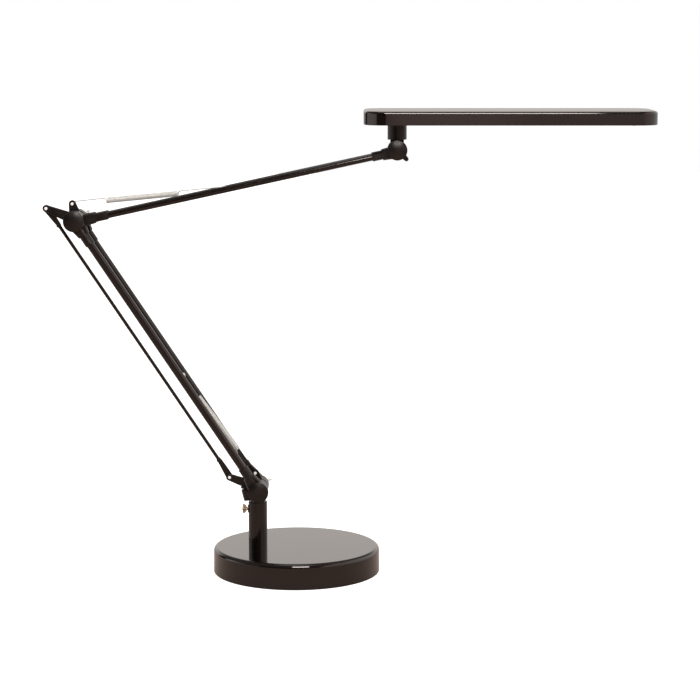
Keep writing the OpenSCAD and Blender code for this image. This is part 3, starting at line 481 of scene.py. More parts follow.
def worn(made, marks, shades, shine, depth, grain=None, limits=NOISE_RANGE):
    """Lets one noise vary a new material's colour and roughness, and its grain the relief.

    Marks and grain are scale, detail and stretch of a pattern, and without a grain the
    relief follows the marks. Shades and shine are the colours and the roughness at the
    marks' low and high ends; the limits say where the colours start and stop changing.
    """
    material, shader = made
    tree = material.node_tree
    factor = pattern(material, *marks)
    tree.links.new(tint(material, factor, *shades, *limits), shader.inputs["Base Color"])
    if shine:
        tree.links.new(ranged(tree, factor, *NOISE_RANGE, *shine), shader.inputs["Roughness"])
    relief(material, shader, pattern(material, *grain) if grain else factor, depth)


def scaled(colour, *shares):
    """A colour made darker or lighter by each share."""
    return [tuple(min(1.0, value * share) for value in colour) for share in shares]


def gloss_finish(colour):
    """Piano-black plastic: a deep gloss with faint wipe marks and hardly any orange peel."""
    made = new_material("gloss_black", colour, 0.1, coat=0.35, coat_roughness=0.02)
    wipes, shades = (22, 5, (1, 3.5, 1)), scaled(colour, 0.85, 1.2)
    worn(made, wipes, shades, (0.045, 0.12), 0.004 * MM, grain=(260, 1))


def lacquer_finish(colour):
    """Stove lacquer on steel tube: glossy, with a fine orange peel and a little dust."""
    made = new_material("black_lacquer", colour, 0.16, coat=0.2, coat_roughness=0.05)
    dust, shades = (190, 6), scaled(colour, 0.8, 1.35)
    worn(made, dust, shades, (0.1, 0.18), 0.008 * MM, grain=(500, 2))


def plastic_finish(colour):
    """Moulded plastic: satin, with a fine grain and paler rubbed patches."""
    made = new_material("black_plastic", colour, 0.24, ior=1.49)
    rubbed, shades = (120, 6), scaled(colour, 0.75, 1.5)
    worn(made, rubbed, shades, (0.28, 0.38), 0.01 * MM, grain=(1400, 2))


def steel_finish(colour):
    """Turned steel: fine marks across Y and a little tarnish."""
    made = new_material("bright_steel", colour, 0.25, metallic=0.3)
    tarnish, shades = (160, 5), scaled(colour, 0.8, 1.08)
    worn(made, tarnish, shades, (0.26, 0.4), 0.03 * MM, grain=(500, 2, (1, 12, 1)))


def spring_finish():
    """Plated spring wire: bright, with drawing marks and a few dull spots."""
    colour = (0.68, 0.69, 0.66)
    made = new_material("spring_steel", colour, 0.2, metallic=0.3)
    dull, shades, limits = (240, 6), scaled(colour, 0.85, 1), (0.3, 0.6)
    worn(made, dull, shades, (0.46, 0.36), 0.012 * MM, (2200, 2), limits)


def rivet_finish():
    """Nickel-plated rivet: near white and satin, with fine scuffs."""
    colour = (0.97, 0.95, 0.92)
    made = new_material("rivet_steel", colour, 0.4, metallic=0.1)
    scuffs, shades = (420, 5), scaled(colour, 0.88, 1)
    worn(made, scuffs, shades, (0.36, 0.5), 0.01 * MM, grain=(900, 2))


def brass_finish(colour):
    """Nickel-washed brass, browner in its hollows."""
    made = new_material("brass", colour, 0.3, metallic=1.0)
    hollows, shades, limits = (420, 6), scaled(colour, 0.5, 1.25), (0.3, 0.6)
    worn(made, hollows, shades, (0.38, 0.22), 0.03 * MM, (1500, 3), limits)


def iron_finish():
    """Cast iron: grey, rough and pitted."""
    made = new_material("weight_iron", (0.12, 0.115, 0.11), 0.7, metallic=0.6)
    pits, shades = (320, 8), ((0.05, 0.045, 0.04), (0.2, 0.19, 0.18))
    worn(made, pits, shades, (0.85, 0.55), 0.3 * MM)


def rubber_finish():
    """Foam rubber: dull black, with small cells."""
    made = new_material("pad_rubber", (0.025, 0.025, 0.025), 0.85)
    cells, shades = (1100, 3), ((0.012, 0.012, 0.012), (0.045, 0.044, 0.042))
    worn(made, cells, shades, None, 0.15 * MM)


def opal_finish():
    """Opal sheet: milky, with light under its surface and a fine prismatic grain."""
    material, shader = new_material("opal", (0.88, 0.88, 0.85), 0.35)
    shader.inputs["Subsurface Weight"].default_value = 0.2
    shader.inputs["Subsurface Radius"].default_value = (4 * MM, 4 * MM, 4 * MM)
    grain, shades = (1300, 2), ((0.84, 0.84, 0.81), (0.91, 0.91, 0.88))
    worn((material, shader), grain, shades, (0.28, 0.42), 0.04 * MM)


def board_finish(name, colour):
    """Solder mask over glass weave: a fine woven relief and slightly uneven colour."""
    made = new_material(name, colour, 0.35)
    weave, shades = (1400, 1, (1, 1, 0.2)), scaled(colour, 0.85, 1.1)
    worn(made, weave, shades, (0.3, 0.45), 0.02 * MM)


def button_finish():
    """Light grey plastic, polished by fingers."""
    made = new_material("button_grey", (0.42, 0.41, 0.40), 0.3)
    touched, shades = (600, 4), ((0.36, 0.35, 0.34), (0.5, 0.49, 0.47))
    worn(made, touched, shades, (0.22, 0.4), 0.02 * MM)


def finishes():
    """The lamp's materials by the names of the packed record's slots, made once."""
    made = bpy.data.materials.get("gloss_black")
    if made is None or not made.use_nodes or "Noise Texture" not in made.node_tree.nodes:
        chosen = bpy.context.scene.lamp_finishes
        for old in [m for m in bpy.data.materials if m.name in SLOTS]:
            old.name = "packed_" + old.name
        gloss_finish(chosen.gloss)
        lacquer_finish(chosen.lacquer)
        plastic_finish(chosen.plastic)
        steel_finish(chosen.steel)
        spring_finish()
        rivet_finish()
        brass_finish(chosen.brass)
        iron_finish()
        rubber_finish()
        opal_finish()
        board_finish("board_white", (0.8, 0.8, 0.76))
        board_finish("board_green", (0.02, 0.12, 0.05))
        board_finish("chip_yellow", (0.75, 0.6, 0.18))
        button_finish()
    return {name: bpy.data.materials[name] for name in SLOTS}


# Shapes of the lamp

PLATE_HUB = 10 * MM  # radius of a lug plate round its hinge
ROD_STRAP, SPRING_STRAP = 6.5 * MM, 8 * MM  # radius at the hinge of the straps to the rivets
LUG = 4.1 * MM  # radius of a lug plate round its rivets
NUT = 10 * MM  # radius of a clamp nut
THIN_LEVER = (2.6 * MM, 1.4 * MM)  # radius at the nut and at the tip
STOUT_LEVER = (4.4 * MM, 2.6 * MM)
HOOK_INSIDE = 1.6 * MM  # radius inside the hook round the upper spring's rivet
HOOK_ASIDE = 1.85 * MM  # from the lug plate's middle plane to the near side of that hook
HOOK_SWEEP = 250  # degrees that a hook goes round its pin
HOOK_POINTS, TURN_POINTS = 50, 40  # points along a hook and along one turn
WIRE_STEP = 0.42 * MM  # between the rings along a spring
LEAD_RISE = 4 * MM  # that the coil climbs more over its first and last quarter turn


def cover_rows(rim, wall):
    """Base cover: a cup upside down. Its profile runs from the middle of the top over the
    rounded rim, down the side and back up inside, and turns about the vertical."""
    low, high, _ = box_of("base_cover")
    r, top, foot = high[0], high[2], low[2]
    foot_out, foot_in, inside = 0.6 * MM, 0.4 * MM, max(rim - wall, 0.5 * MM)
    profile = rounded(
        [(0, top), (r, top), (r, foot), (r - wall, foot), (r - wall, top - wall), (0, top - wall)],
        [rim, foot_out, foot_in, inside],
        steps=14,
    )
    return revolve(profile, np.zeros(3), Z, around=256)


def slab_outline(half_x, half_y, corner, steps=20):
    """Rectangle with round corners, and the outward direction at each point. The four
    quarter circles follow each other, and the straight sides join them."""
    turn = np.linspace(0, math.pi / 2, steps)
    angle = (np.arange(4)[:, None] * math.pi / 2 + turn).reshape(-1)
    way = np.stack([np.cos(angle), np.sin(angle)], axis=1)
    sign_x = np.repeat([1, -1, -1, 1], steps)
    sign_y = np.repeat([1, 1, -1, -1], steps)
    middle = np.stack([sign_x * (half_x - corner), sign_y * (half_y - corner)], axis=1)
    return middle + corner * way, way


def housing_rows(corner, edge, wall):
    """Head housing: rows of a round-cornered rectangle drawn in by the profile's inset.

    The profile (inset, height) runs over the top, round the edge, down the side and back
    up inside, and both flats close on their middle.
    """
    low, high, middle = box_of("head_housing")
    outline, way = slab_outline(high[0] - middle[0], high[1] - middle[1], corner)
    top, foot = high[2], low[2]
    foot_out, foot_in, inside, flat_from = 0.5 * MM, 0.3 * MM, 1 * MM, 20 * MM
    profile = rounded(
        [
            (flat_from, top),
            (0, top),
            (0, foot),
            (wall, foot),
            (wall, top - wall),
            (flat_from, top - wall),
        ],
        [edge, foot_out, foot_in, inside],
        steps=12,
    )
    flat = outline[None] - profile[:, 0, None, None] * way[None]
    height = np.broadcast_to(profile[:, 1, None], flat.shape[:2])
    rows = np.concatenate([flat, height[..., None]], axis=-1)
    poles = np.zeros((2, len(outline), 3))
    poles[0, :, 2], poles[1, :, 2] = top, top - wall
    return np.concatenate([poles[:1], rows, poles[1:]]) + [middle[0], middle[1], 0]


def cap_rows(node, hinge, dome, rim):
    """Hinge cap: a domed face, a rounded rim and a pocket behind for the bolt's head, turned
    about the hinge. The dome is an arc of radius (r^2 + dome^2) / (2 dome)."""
    low, high, _ = box_of(node)
    r, thick = (high[0] - low[0]) / 2, high[1] - low[1]
    pocket_r, pocket = 6.85 * MM, 3.1 * MM
    shoulder_in, shoulder_round = 0.3 * rim, 0.45 * rim
    ball = (r * r + dome * dome) / (2 * dome)

    def height(out):
        return thick - ball + np.sqrt(ball * ball - out * out)

    out = np.linspace(0, r - rim, 14)
    face = np.stack([out, height(out)], axis=1)
    shoulder = (r, height(r - shoulder_in))
    back = rounded(
        [face[-1], shoulder, (r, 0), (pocket_r, 0), (pocket_r, pocket), (0, pocket)],
        [shoulder_round, 0.4 * MM, 0.2 * MM, 0.2 * MM],
        steps=7,
        ease=0.05 * MM,
    )
    foot = np.array([hinge[0], high[1], hinge[2]])
    return revolve(np.vstack([face[:-1], back]), foot, -Y)


def coil_path(settings, turns, start):
    """Coil round Z from height start: (r cos a, r sin a, start + pitch a / 2 pi). The climb
    steepens over the first and last quarter turn, so that the wire runs into its legs.
    Also the outward direction at each point."""
    r = (settings.width - settings.wire) / 2
    angle = np.linspace(0, TAU * turns, TURN_POINTS * turns)
    quarter = TAU / 4
    lead = np.maximum(0, quarter - angle) / quarter
    trail = np.maximum(0, angle - TAU * (turns - 0.25)) / quarter
    rise = start + settings.pitch * angle / TAU + LEAD_RISE * (trail**2 - lead**2)
    out = np.stack([np.cos(angle), np.sin(angle), 0 * angle], axis=1)
    return r * out + rise[:, None] * Z, out


def hook_path(r, y, z, start, end):
    """Arc round a pin along Y at height z: (r cos a, y, z + r sin a), with a in degrees. Also
    the outward direction at each point."""
    angle = np.radians(np.linspace(start, end, HOOK_POINTS))
    out = np.stack([np.cos(angle), 0 * angle, np.sin(angle)], axis=1)
    return r * out + y * Y + z * Z, out


def even(path, outward, step):
    """The path at even steps along its length, its kinks eased by a running mean of the
    shape 1, 4, 6, 4, 1."""
    along = np.concatenate([[0], np.cumsum(np.linalg.norm(np.diff(path, axis=0), axis=1))])
    at = np.linspace(0, along[-1], int(along[-1] / step))
    both = np.hstack([path, outward])
    both = np.stack([np.interp(at, along, column) for column in both.T], axis=1)
    for _ in range(3):
        padded = np.vstack([both[:1], both[:1], both, both[-1:], both[-1:]])
        shares = enumerate((1, 4, 6, 4, 1))
        both = sum(share * padded[k : k + len(at)] for k, share in shares) / 16
    return both[:, :3], unit(both[:, 3:])


def spring_rows(settings, turns, leg, pin, lug, hooked):
    """Tension spring: a hook round its pin, a leg, the coil, a leg, and at the far end a
    hook round the rivet where hooked is set, or else a short end inside the link."""
    r = (settings.width - settings.wire) / 2
    half = settings.wire / 2
    span = np.linalg.norm(lug - pin)
    start = span - leg - turns * settings.pitch
    parts = [hook_path(r, 0, 0, -HOOK_SWEEP, 0), coil_path(settings, turns, start)]
    if hooked:
        parts.append(hook_path(half + HOOK_INSIDE, half + HOOK_ASIDE, span, 0, HOOK_SWEEP))
    path = np.vstack([part[0] for part in parts])
    out = np.vstack([part[1] for part in parts])
    rows = tube(*even(path, out, WIRE_STEP), half)
    way = unit(lug - pin)
    return pin + rows @ np.array([np.cross(Y, way), Y, way])


def polar(reach, angle):
    """Points of an outline in X and Z, from their distance and angle."""
    return reach[:, None] * np.stack([np.cos(angle), np.sin(angle)], axis=1)


def lug_outline():
    """Lug plate, as the reach from its hinge by angle: the hub, and a strap to each lug."""
    angle = -np.arange(900) / 900 * TAU
    rod, spring = (ROD_LUG - LOWER_HINGE)[[0, 2]], (LOWER_LUG - LOWER_HINGE)[[0, 2]]
    reach = np.maximum.reduce(
        [
            np.full(len(angle), PLATE_HUB),
            strap_reach(angle, (0, 0), ROD_STRAP, rod, LUG),
            strap_reach(angle, (0, 0), SPRING_STRAP, spring, LUG),
        ]
    )
    return polar(reach, angle)


def nut_rows(node, hinge, reach, root, tip, lean_angle):
    """Clamp nut: a stepped and ringed body turned about the hinge, and a lever whose
    outline is a strap from a circle round the hinge to the round tip, with rounded edges."""
    low, high, _ = box_of(node)
    front, back = low[1], high[1]
    thick = back - front
    bore, recess, slope = 4.1 * MM, 0.7 * MM, 0.3 * MM
    waist, ring_out, ring_in = NUT - 1.6 * MM, NUT - 2.6 * MM, NUT - 4.4 * MM
    profile = rounded(
        [
            (bore, 0),
            (NUT, 0),
            (NUT, 0.4 * thick),
            (waist, 0.46 * thick),
            (waist, thick - 0.8 * MM),
            (ring_out, thick),
            (ring_in, thick),
            (ring_in - slope, thick - recess),
            (bore, thick - recess),
        ],
        np.array([0.3, 0.5, 0.3, 0.3, 0.3, 0.2, 0.2]) * MM,
        steps=5,
        ease=0.05 * MM,
    )
    profile = np.vstack([profile, profile[:1]])
    body = revolve(profile, np.array([hinge[0], front, hinge[2]]), Y)
    angle = -np.arange(400) / 400 * TAU
    way = np.array([math.cos(lean_angle), math.sin(lean_angle)])
    arm = polar(strap_reach(angle, (0, 0), root, (reach - tip) * way, tip), angle)
    lever_front, lever_back, lever_edge = front + 0.45 * thick, back - 1 * MM, 0.8 * MM
    return body, plate(arm, lever_front, lever_back, lever_edge, hinge * [1, 0, 1])


def wing_screw_rows(span):
    """Thumb screw: a shank turned about X with a waist and a round boss, and two wings.

    The wings' outline is polar: a reach of waist + (half span - waist) |sin|^1.5, squeezed
    across and swept back by sin^2, so that they bow away from the post.
    """
    low, high, middle = box_of("thumb_screw")
    length = high[0] - low[0]
    profile = rounded(
        [
            (0, 0),
            (2.45 * MM, 0),
            (2.45 * MM, 0.41 * length),
            (1.5 * MM, 0.5 * length),
            (1.7 * MM, 0.62 * length),
            (2.3 * MM, 0.78 * length),
            (2.1 * MM, length),
            (0, length),
        ],
        np.array([0.3, 0.3, 0.3, 0.3, 0.5, 1.2]) * MM,
        steps=6,
        ease=0.03 * MM,
    )
    shank = revolve(profile, np.array([high[0], 0, middle[2]]), -X, around=64)
    angle = -np.arange(200) / 200 * TAU
    waist, squeeze, sweep = 1.9 * MM, 0.8, 1.7 * MM
    half_thick, edge, from_end = 1.1 * MM, 0.5 * MM, 3.6 * MM
    reach = waist + (span / 2 - waist) * np.abs(np.sin(angle)) ** 1.5
    outline = polar(reach, angle) * [squeeze, 1]
    outline[:, 0] -= sweep * np.sin(angle) ** 2
    centre = np.array([low[0] + from_end, 0, middle[2]])
    return shank, plate(outline, -half_thick, half_thick, edge, centre)


def gland_rows():
    """Lead gland: two thin ribs, a tapered body and its bore, turned about an axis that
    leans by 10 degrees and ends on the packed entry for the lead."""
    mounts = frame["record"]["mounts"]
    entry = next(mount for mount in mounts if mount["name"] == "cord_entry")
    way = unit(np.array(entry["axis"], float))
    stem, rib, end, bore = 3.9, 6.0, 5.0, 2.75  # radii in millimetres
    length, floor = 18.5, 6.0  # along the axis, in millimetres
    corners = [
        (0, 0),
        (stem, 0),
        (stem, 1.4),
        (rib, 1.4),
        (rib, 3.2),
        (stem, 3.2),
        (stem, 5.0),
        (rib, 5.0),
        (end, length),
        (bore, length),
        (bore, floor),
        (0, floor),
    ]
    radii = np.array([0.4, 0.15, 0.35, 0.35, 0.15, 0.15, 0.4, 0.6, 0.4, 0.3]) * MM
    profile = rounded(np.array(corners) * MM, radii, steps=6, ease=0.05 * MM)
    return revolve(profile, np.array(entry["pos_m"]) - length * MM * way, way)


# Studio

# Ranges for ranged(): from, to, value before, value after. A direction's x runs to the
# right, its y away from the camera and its z up.
FLOOR_REFLECTED = (-0.3, 1.5, 0.0, 0.8)  # by metres away: the floor's glow in reflections
FLOOR_BASE, FLOOR_BASE_REFLECTED = (0.5, 0.5, 0.5), (0.33, 0.22, 0.165)
FRONT_TO_BACK = (-0.3, 0.2, 0.0, 1.0)  # by y: 0 in front of the lamp, 1 behind it
FRONT_WALL = (0.03, 0.14, 0.6, 0.09)  # by z: dim at the horizon, dark above
FRONT_GLEAM = (0.055, 0.095, 1.4, 1.0)  # by x: brighter left of here
BACK_WALL = (0.03, 0.16, 0.56, 1.0)  # by z: grey at the horizon, white above
RIGHT_WALL = (0.5, 0.9, 1.0, 1.5)  # by x
LEFT_WALL = (-0.9, -0.7, 1.45, 1.0)  # by x
FRONT_CARD, FRONT_CARD_AWAY = (-0.78, -0.02), (-0.1, 0.1, 0.0, 1.0)  # by x, and by y
BACK_CARD, BACK_CARD_AWAY = (-0.92, -0.7), (0.1, 0.2, 1.0, 0.0)
CARD_EDGE, CARD_LIGHT = 0.03, 0.03  # width of a card's soft edge, and the card's own light
CEILING, CEILING_LIGHT = (0.3, 0.5, 0.0, 1.0), 0.22  # by z
PANEL_SIDE, PANEL_RISE, PANEL_LIGHT = (0.5, 0.65, 0.0, 1.0), (0.06, 0.12, 0.0, 1.0), 1.1
EVEN_LIGHT = 0.7  # that all other rays find
WHITE, FRONT_WARM, BACK_WARM = (1.0, 1.0, 1.0), (1.0, 0.74, 0.68), (1.0, 0.93, 0.88)
SOFTBOX_WARM = (1.0, 0.89, 0.85)
MIX_SOCKETS = {"FLOAT": (2, 3, 0), "RGBA": (6, 7, 2)}  # a mix node's two inputs and its output


def combined(tree, operation, first, second):
    """Two values, put together by the named operation."""
    node = tree.nodes.new("ShaderNodeMath")
    node.operation = operation
    tree.links.new(first, node.inputs[0])
    tree.links.new(second, node.inputs[1])
    return node.outputs[0]


def mixed(tree, factor, first, second, kind="FLOAT"):
    """The first value or colour where the factor is 0 and the second where it is 1."""
    node = tree.nodes.new("ShaderNodeMix")
    node.data_type = kind
    at_first, at_second, at_result = MIX_SOCKETS[kind]
    tree.links.new(factor, node.inputs[0])
    for value, socket in ((first, node.inputs[at_first]), (second, node.inputs[at_second])):
        if isinstance(value, float):
            socket.default_value = value
        elif isinstance(value, tuple):
            socket.default_value = (*value, 1)
        else:
            tree.links.new(value, socket)
    return node.outputs[at_result]


def seen_directly(tree, path):
    """1 for rays from the camera and rays that came through glass or off a gloss."""
    kinds = [path.outputs[f"Is {kind} Ray"] for kind in ("Camera", "Glossy", "Transmission")]
    return combined(tree, "MAXIMUM", combined(tree, "MAXIMUM", *kinds[:2]), kinds[2])


def card(tree, x, left, right, away):
    """Black card: CARD_LIGHT between its edges, and 1 beside them or where away is 1."""
    beyond_right = ranged(tree, x, right - CARD_EDGE, right, CARD_LIGHT, 1.0)
    beyond_left = ranged(tree, x, left, left + CARD_EDGE, 1.0, CARD_LIGHT)
    beside = combined(tree, "MAXIMUM", beyond_right, beyond_left)
    return combined(tree, "MAXIMUM", beside, away)


def floor_material():
    """Pale floor: diffuse, so that it keeps the shadow, and as light as the background to
    the camera. In reflections it is dim in front of the lamp and light behind it."""
    material = bpy.data.materials.new("pale_floor")
    material.use_nodes = True
    tree = material.node_tree
    shader = tree.nodes["Principled BSDF"]
    shader.inputs["Roughness"].default_value = 0.9
    where = tree.nodes.new("ShaderNodeTexCoord")
    parts = tree.nodes.new("ShaderNodeSeparateXYZ")
    path = tree.nodes.new("ShaderNodeLightPath")
    glow = tree.nodes.new("ShaderNodeEmission")
    add = tree.nodes.new("ShaderNodeAddShader")
    glossy = path.outputs["Is Glossy Ray"]
    tree.links.new(where.outputs["Object"], parts.inputs[0])
    colour = mixed(tree, glossy, FLOOR_BASE, FLOOR_BASE_REFLECTED, "RGBA")
    tree.links.new(colour, shader.inputs["Base Color"])
    power = mixed(tree, glossy, 1.0, ranged(tree, parts.outputs["Y"], *FLOOR_REFLECTED))
    power = combined(tree, "MULTIPLY", power, seen_directly(tree, path))
    tree.links.new(power, glow.inputs["Strength"])
    tree.links.new(shader.outputs[0], add.inputs[0])
    tree.links.new(glow.outputs[0], add.inputs[1])
    tree.links.new(add.outputs[0], tree.nodes["Material Output"].inputs["Surface"])
    return material


def studio_world():
    """White background for the camera and in glass. Glossy rays find it warm: behind the lamp
    grey at the horizon and white above that, in front dim at the horizon and dark above, and
    a dim room overhead and a light panel to the right. Two black cards stand in it: a wide
    one in front to the left, and a narrow one behind to the left. Other rays find an even
    light."""
    world = bpy.data.worlds.new("studio")
    world.use_nodes = True
    tree = world.node_tree
    tree.nodes.clear()
    where = tree.nodes.new("ShaderNodeTexCoord")
    parts = tree.nodes.new("ShaderNodeSeparateXYZ")
    path = tree.nodes.new("ShaderNodeLightPath")
    background = tree.nodes.new("ShaderNodeBackground")
    output = tree.nodes.new("ShaderNodeOutputWorld")
    tree.links.new(where.outputs["Generated"], parts.inputs[0])
    x, y, z = parts.outputs
    glossy = path.outputs["Is Glossy Ray"]
    depth = ranged(tree, y, *FRONT_TO_BACK)
    front, gleam = ranged(tree, z, *FRONT_WALL), ranged(tree, x, *FRONT_GLEAM)
    front = combined(tree, "MULTIPLY", front, gleam)
    room = mixed(tree, depth, front, ranged(tree, z, *BACK_WALL))
    for factor in (
        ranged(tree, x, *RIGHT_WALL),
        ranged(tree, x, *LEFT_WALL),
        card(tree, x, *FRONT_CARD, ranged(tree, y, *FRONT_CARD_AWAY)),
        card(tree, x, *BACK_CARD, ranged(tree, y, *BACK_CARD_AWAY)),
    ):
        room = combined(tree, "MULTIPLY", room, factor)
    room = mixed(tree, ranged(tree, z, *CEILING), room, CEILING_LIGHT)
    side, rise = ranged(tree, x, *PANEL_SIDE), ranged(tree, z, *PANEL_RISE)
    room = mixed(tree, combined(tree, "MULTIPLY", side, rise), room, PANEL_LIGHT)
    strength = mixed(tree, glossy, 1.0, room)
    strength = mixed(tree, seen_directly(tree, path), EVEN_LIGHT, strength)
    tree.links.new(strength, background.inputs["Strength"])
    warm = mixed(tree, depth, FRONT_WARM, BACK_WARM, "RGBA")
    colour = mixed(tree, glossy, WHITE, warm, "RGBA")
    tree.links.new(colour, background.inputs["Color"])
    tree.links.new(background.outputs[0], output.inputs["Surface"])
    return world


def area_lamp(name, place, aim, size, power, colour):
    """Rectangular lamp at a place, aimed at a point."""
    data = bpy.data.lights.new(name, "AREA")
    data.shape = "RECTANGLE"
    data.size, data.size_y = size
    data.energy = power
    data.color = colour
    lamp = bpy.data.objects.new(name, data)
    lamp.location = place
    way = Vector(aim) - Vector(place)
    lamp.rotation_euler = way.to_track_quat("-Z", "Y").to_euler()
    bpy.context.scene.collection.objects.link(lamp)


def floor_mesh(half, count):
    """Square grid of count by count points round the origin."""
    side = np.linspace(-half, half, count)
    x, y = np.meshgrid(side, side, indexing="ij")
    points = np.stack([x, y, 0 * x], axis=-1).reshape(-1, 3)
    index = np.arange(count * count).reshape(count, count)
    quads = np.stack([index[:-1, :-1], index[1:, :-1], index[1:, 1:], index[:-1, 1:]], -1)
    mesh = bpy.data.meshes.new("floor")
    mesh.from_pydata(points.tolist(), [], quads.reshape(-1, 4).tolist())
    mesh.materials.append(floor_material())
    return mesh


# Operators


class LAMP_OT_base_cover(bpy.types.Operator):
    """Make the round base cover with its rounded rim"""

    bl_idname = "lamp.base_cover"
    bl_label = "Base cover"

    def execute(self, context):
        chosen = context.scene.lamp_base
        rows = cover_rows(chosen.rim, chosen.wall)
        make_piece("base_cover_shell", [rows], "base", "gloss_black", ["base_cover"])
        return {"FINISHED"}


class LAMP_OT_head_housing(bpy.types.Operator):
    """Make the head's housing with round corners and a rounded top edge"""

    bl_idname = "lamp.head_housing"
    bl_label = "Head housing"

    def execute(self, context):
        chosen = context.scene.lamp_head
        rows = housing_rows(chosen.corner, chosen.edge, chosen.wall)
        make_piece("head_shell", [rows], "head", "gloss_black", ["head_housing"])
        return {"FINISHED"}


class LAMP_OT_hinge_caps(bpy.types.Operator):
    """Make the three domed hinge caps"""

    bl_idname = "lamp.hinge_caps"
    bl_label = "Hinge caps"

    def execute(self, context):
        chosen = context.scene.lamp_hinges
        for node, hinge, body in (
            ("base_hinge_cap", LOWER_HINGE, "swivel"),
            ("elbow_cap", ELBOW, "lower_arm"),
            ("head_hinge_cap", HEAD_HINGE, "upper_arm"),
        ):
            rows = cap_rows(node, hinge, chosen.dome, chosen.cap_rim)
            make_piece(node + "_domed", [rows], body, "black_plastic", [node])
        return {"FINISHED"}


class LAMP_OT_lug_plates(bpy.types.Operator):
    """Make the two lug plates with broken edges"""

    bl_idname = "lamp.lug_plates"
    bl_label = "Lug plates"

    def execute(self, context):
        chosen = context.scene.lamp_hinges
        for node, hinge, body in (
            ("base_lug_plate", LOWER_HINGE, "swivel"),
            ("elbow_lug_plate", ELBOW, "elbow_plate"),
        ):
            low, high, _ = box_of(node)
            rows = plate(lug_outline(), low[1], high[1], chosen.plate_edge, hinge * [1, 0, 1])
            make_piece(node + "_pressed", [rows], body, "black_plastic", [node])
        return {"FINISHED"}


class LAMP_OT_clamp_nuts(bpy.types.Operator):
    """Make the three clamp nuts with their levers"""

    bl_idname = "lamp.clamp_nuts"
    bl_label = "Clamp nuts"

    def execute(self, context):
        chosen = context.scene.lamp_hinges
        thin, stout = (chosen.lever, *THIN_LEVER), (chosen.head_lever, *STOUT_LEVER)
        for node, hinge, body, degrees, lever in (
            ("base_clamp_nut", LOWER_HINGE, "base_clamp", 21, thin),
            ("elbow_clamp_nut", ELBOW, "elbow_clamp", 35, thin),
            ("head_clamp_nut", HEAD_HINGE, "head_clamp", -47, stout),
        ):
            slot = "black_plastic" if node in SLOTS["black_plastic"] else "bright_steel"
            surfaces = nut_rows(node, hinge, *lever, math.radians(degrees))
            make_piece(node + "_turned", surfaces, body, slot, [node])
        return {"FINISHED"}


class LAMP_OT_wing_screw(bpy.types.Operator):
    """Make the thumb screw with its two wings"""

    bl_idname = "lamp.wing_screw"
    bl_label = "Wing screw"

    def execute(self, context):
        surfaces = wing_screw_rows(context.scene.lamp_hinges.wing_span)
        make_piece("thumb_screw_winged", surfaces, "thumb_screw", "brass", ["thumb_screw"])
        return {"FINISHED"}


class LAMP_OT_lead_gland(bpy.types.Operator):
    """Make the ribbed gland for the lead"""

    bl_idname = "lamp.lead_gland"
    bl_label = "Lead gland"

    def execute(self, context):
        make_piece("cord_gland_ribbed", [gland_rows()], "swivel", "black_plastic", ["cord_gland"])
        return {"FINISHED"}


class LAMP_OT_springs(bpy.types.Operator):
    """Wind the two tension springs"""

    bl_idname = "lamp.springs"
    bl_label = "Springs"

    def execute(self, context):
        chosen = context.scene.lamp_springs
        turns, leg = chosen.lower_turns, chosen.lower_leg
        rows = spring_rows(chosen, turns, leg, LOWER_PIN, LOWER_LUG, False)
        name, node = "lower_spring_wound", "lower_spring"
        make_piece(name, [rows], node, "spring_steel", [node], sharp=60)
        turns, leg = chosen.upper_turns, chosen.upper_leg
        rows = spring_rows(chosen, turns, leg, UPPER_PIN, UPPER_LUG, True)
        name, node = "upper_spring_wound", "upper_spring"
        upper = make_piece(name, [rows], None, "spring_steel", [node], sharp=60)
        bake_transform(upper)
        return {"FINISHED"}


class LAMP_OT_packed_finishes(bpy.types.Operator):
    """Give every packed node the finish of its slot"""

    bl_idname = "lamp.packed_finishes"
    bl_label = "Finishes of the packed nodes"

    def execute(self, context):
        made = finishes()
        for slot, nodes in SLOTS.items():
            for node in nodes:
                mesh = frame["nodes"][node].data
                mesh.materials.clear()
                mesh.materials.append(made[slot])
        return {"FINISHED"}


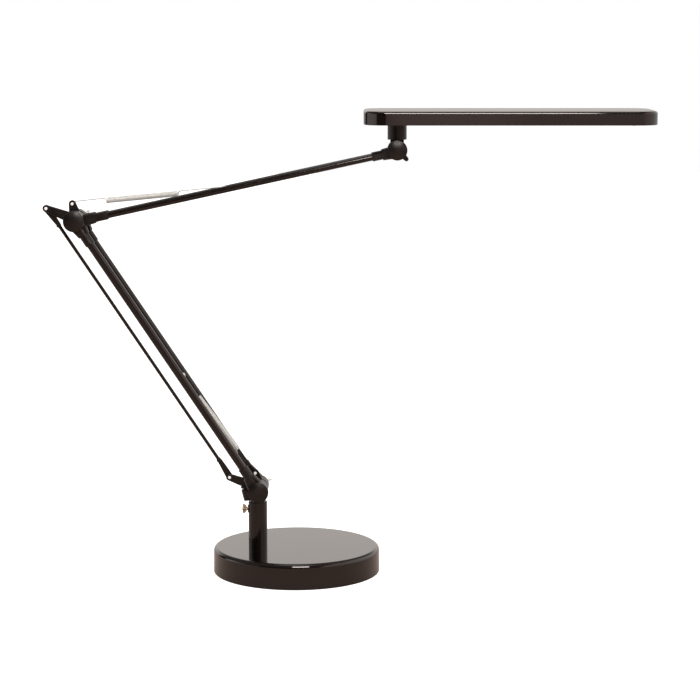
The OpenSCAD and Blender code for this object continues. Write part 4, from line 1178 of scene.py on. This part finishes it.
class LAMP_OT_studio(bpy.types.Operator):
    """Make the floor, the light and the camera"""

    bl_idname = "lamp.studio"
    bl_label = "Floor, light and camera"

    def execute(self, context):
        chosen = context.scene.lamp_studio
        scene = context.scene
        floor = bpy.data.objects.new("floor", floor_mesh(half=7, count=15))
        scene.collection.objects.link(floor)
        scene.world = studio_world()
        area_lamp(
            "softbox",
            place=(0.22, -1.6, 1.5),
            aim=(0.1, 0, 0.3),
            size=(0.75, 0.6),
            power=chosen.softbox,
            colour=SOFTBOX_WARM,
        )
        area_lamp(
            "fill",
            place=(0.1, 0.2, 2.2),
            aim=(0, 0, 0.2),
            size=(1.2, 0.8),
            power=chosen.fill,
            colour=WHITE,
        )
        data = bpy.data.cameras.new("photo_view")
        data.sensor_width = 36
        data.lens = chosen.lens
        camera = bpy.data.objects.new("photo_view", data)
        camera.location = chosen.camera_place
        camera.rotation_euler = (math.pi / 2 - chosen.camera_down, 0, 0)
        scene.collection.objects.link(camera)
        scene.camera = camera
        scene.view_settings.view_transform = "Standard"
        return {"FINISHED"}


class LAMP_PT_lamp(bpy.types.Panel):
    """Desk lamp"""

    bl_idname = "LAMP_PT_lamp"
    bl_label = "Desk lamp"
    bl_space_type = "VIEW_3D"
    bl_region_type = "UI"
    bl_category = "Desk lamp"

    def draw(self, context):
        layout = self.layout
        for name, group in SETTINGS.items():
            box = layout.box()
            box.label(text=group.__doc__)
            for setting in group.__annotations__:
                box.prop(getattr(context.scene, name), setting)
        for operator in OPERATORS:
            layout.operator(operator.bl_idname)


SETTINGS = {
    "lamp_base": BaseSettings,
    "lamp_head": HeadSettings,
    "lamp_hinges": HingeSettings,
    "lamp_springs": SpringSettings,
    "lamp_finishes": FinishSettings,
    "lamp_studio": StudioSettings,
}
OPERATORS = (
    LAMP_OT_packed_finishes,
    LAMP_OT_base_cover,
    LAMP_OT_head_housing,
    LAMP_OT_hinge_caps,
    LAMP_OT_lug_plates,
    LAMP_OT_clamp_nuts,
    LAMP_OT_wing_screw,
    LAMP_OT_lead_gland,
    LAMP_OT_springs,
    LAMP_OT_studio,
)


def register():
    """Make the settings, the operators and the panel known to Blender."""
    for known in (*SETTINGS.values(), *OPERATORS, LAMP_PT_lamp):
        bpy.utils.register_class(known)
    for name, group in SETTINGS.items():
        setattr(bpy.types.Scene, name, PointerProperty(type=group))


def unregister():
    """Take them out again."""
    for name in SETTINGS:
        delattr(bpy.types.Scene, name)
    for known in reversed((*SETTINGS.values(), *OPERATORS, LAMP_PT_lamp)):
        bpy.utils.unregister_class(known)


def main():
    register()
    for operator in OPERATORS:
        area, name = operator.bl_idname.split(".")
        getattr(getattr(bpy.ops, area), name)()


if __name__ == "__main__":
    main()
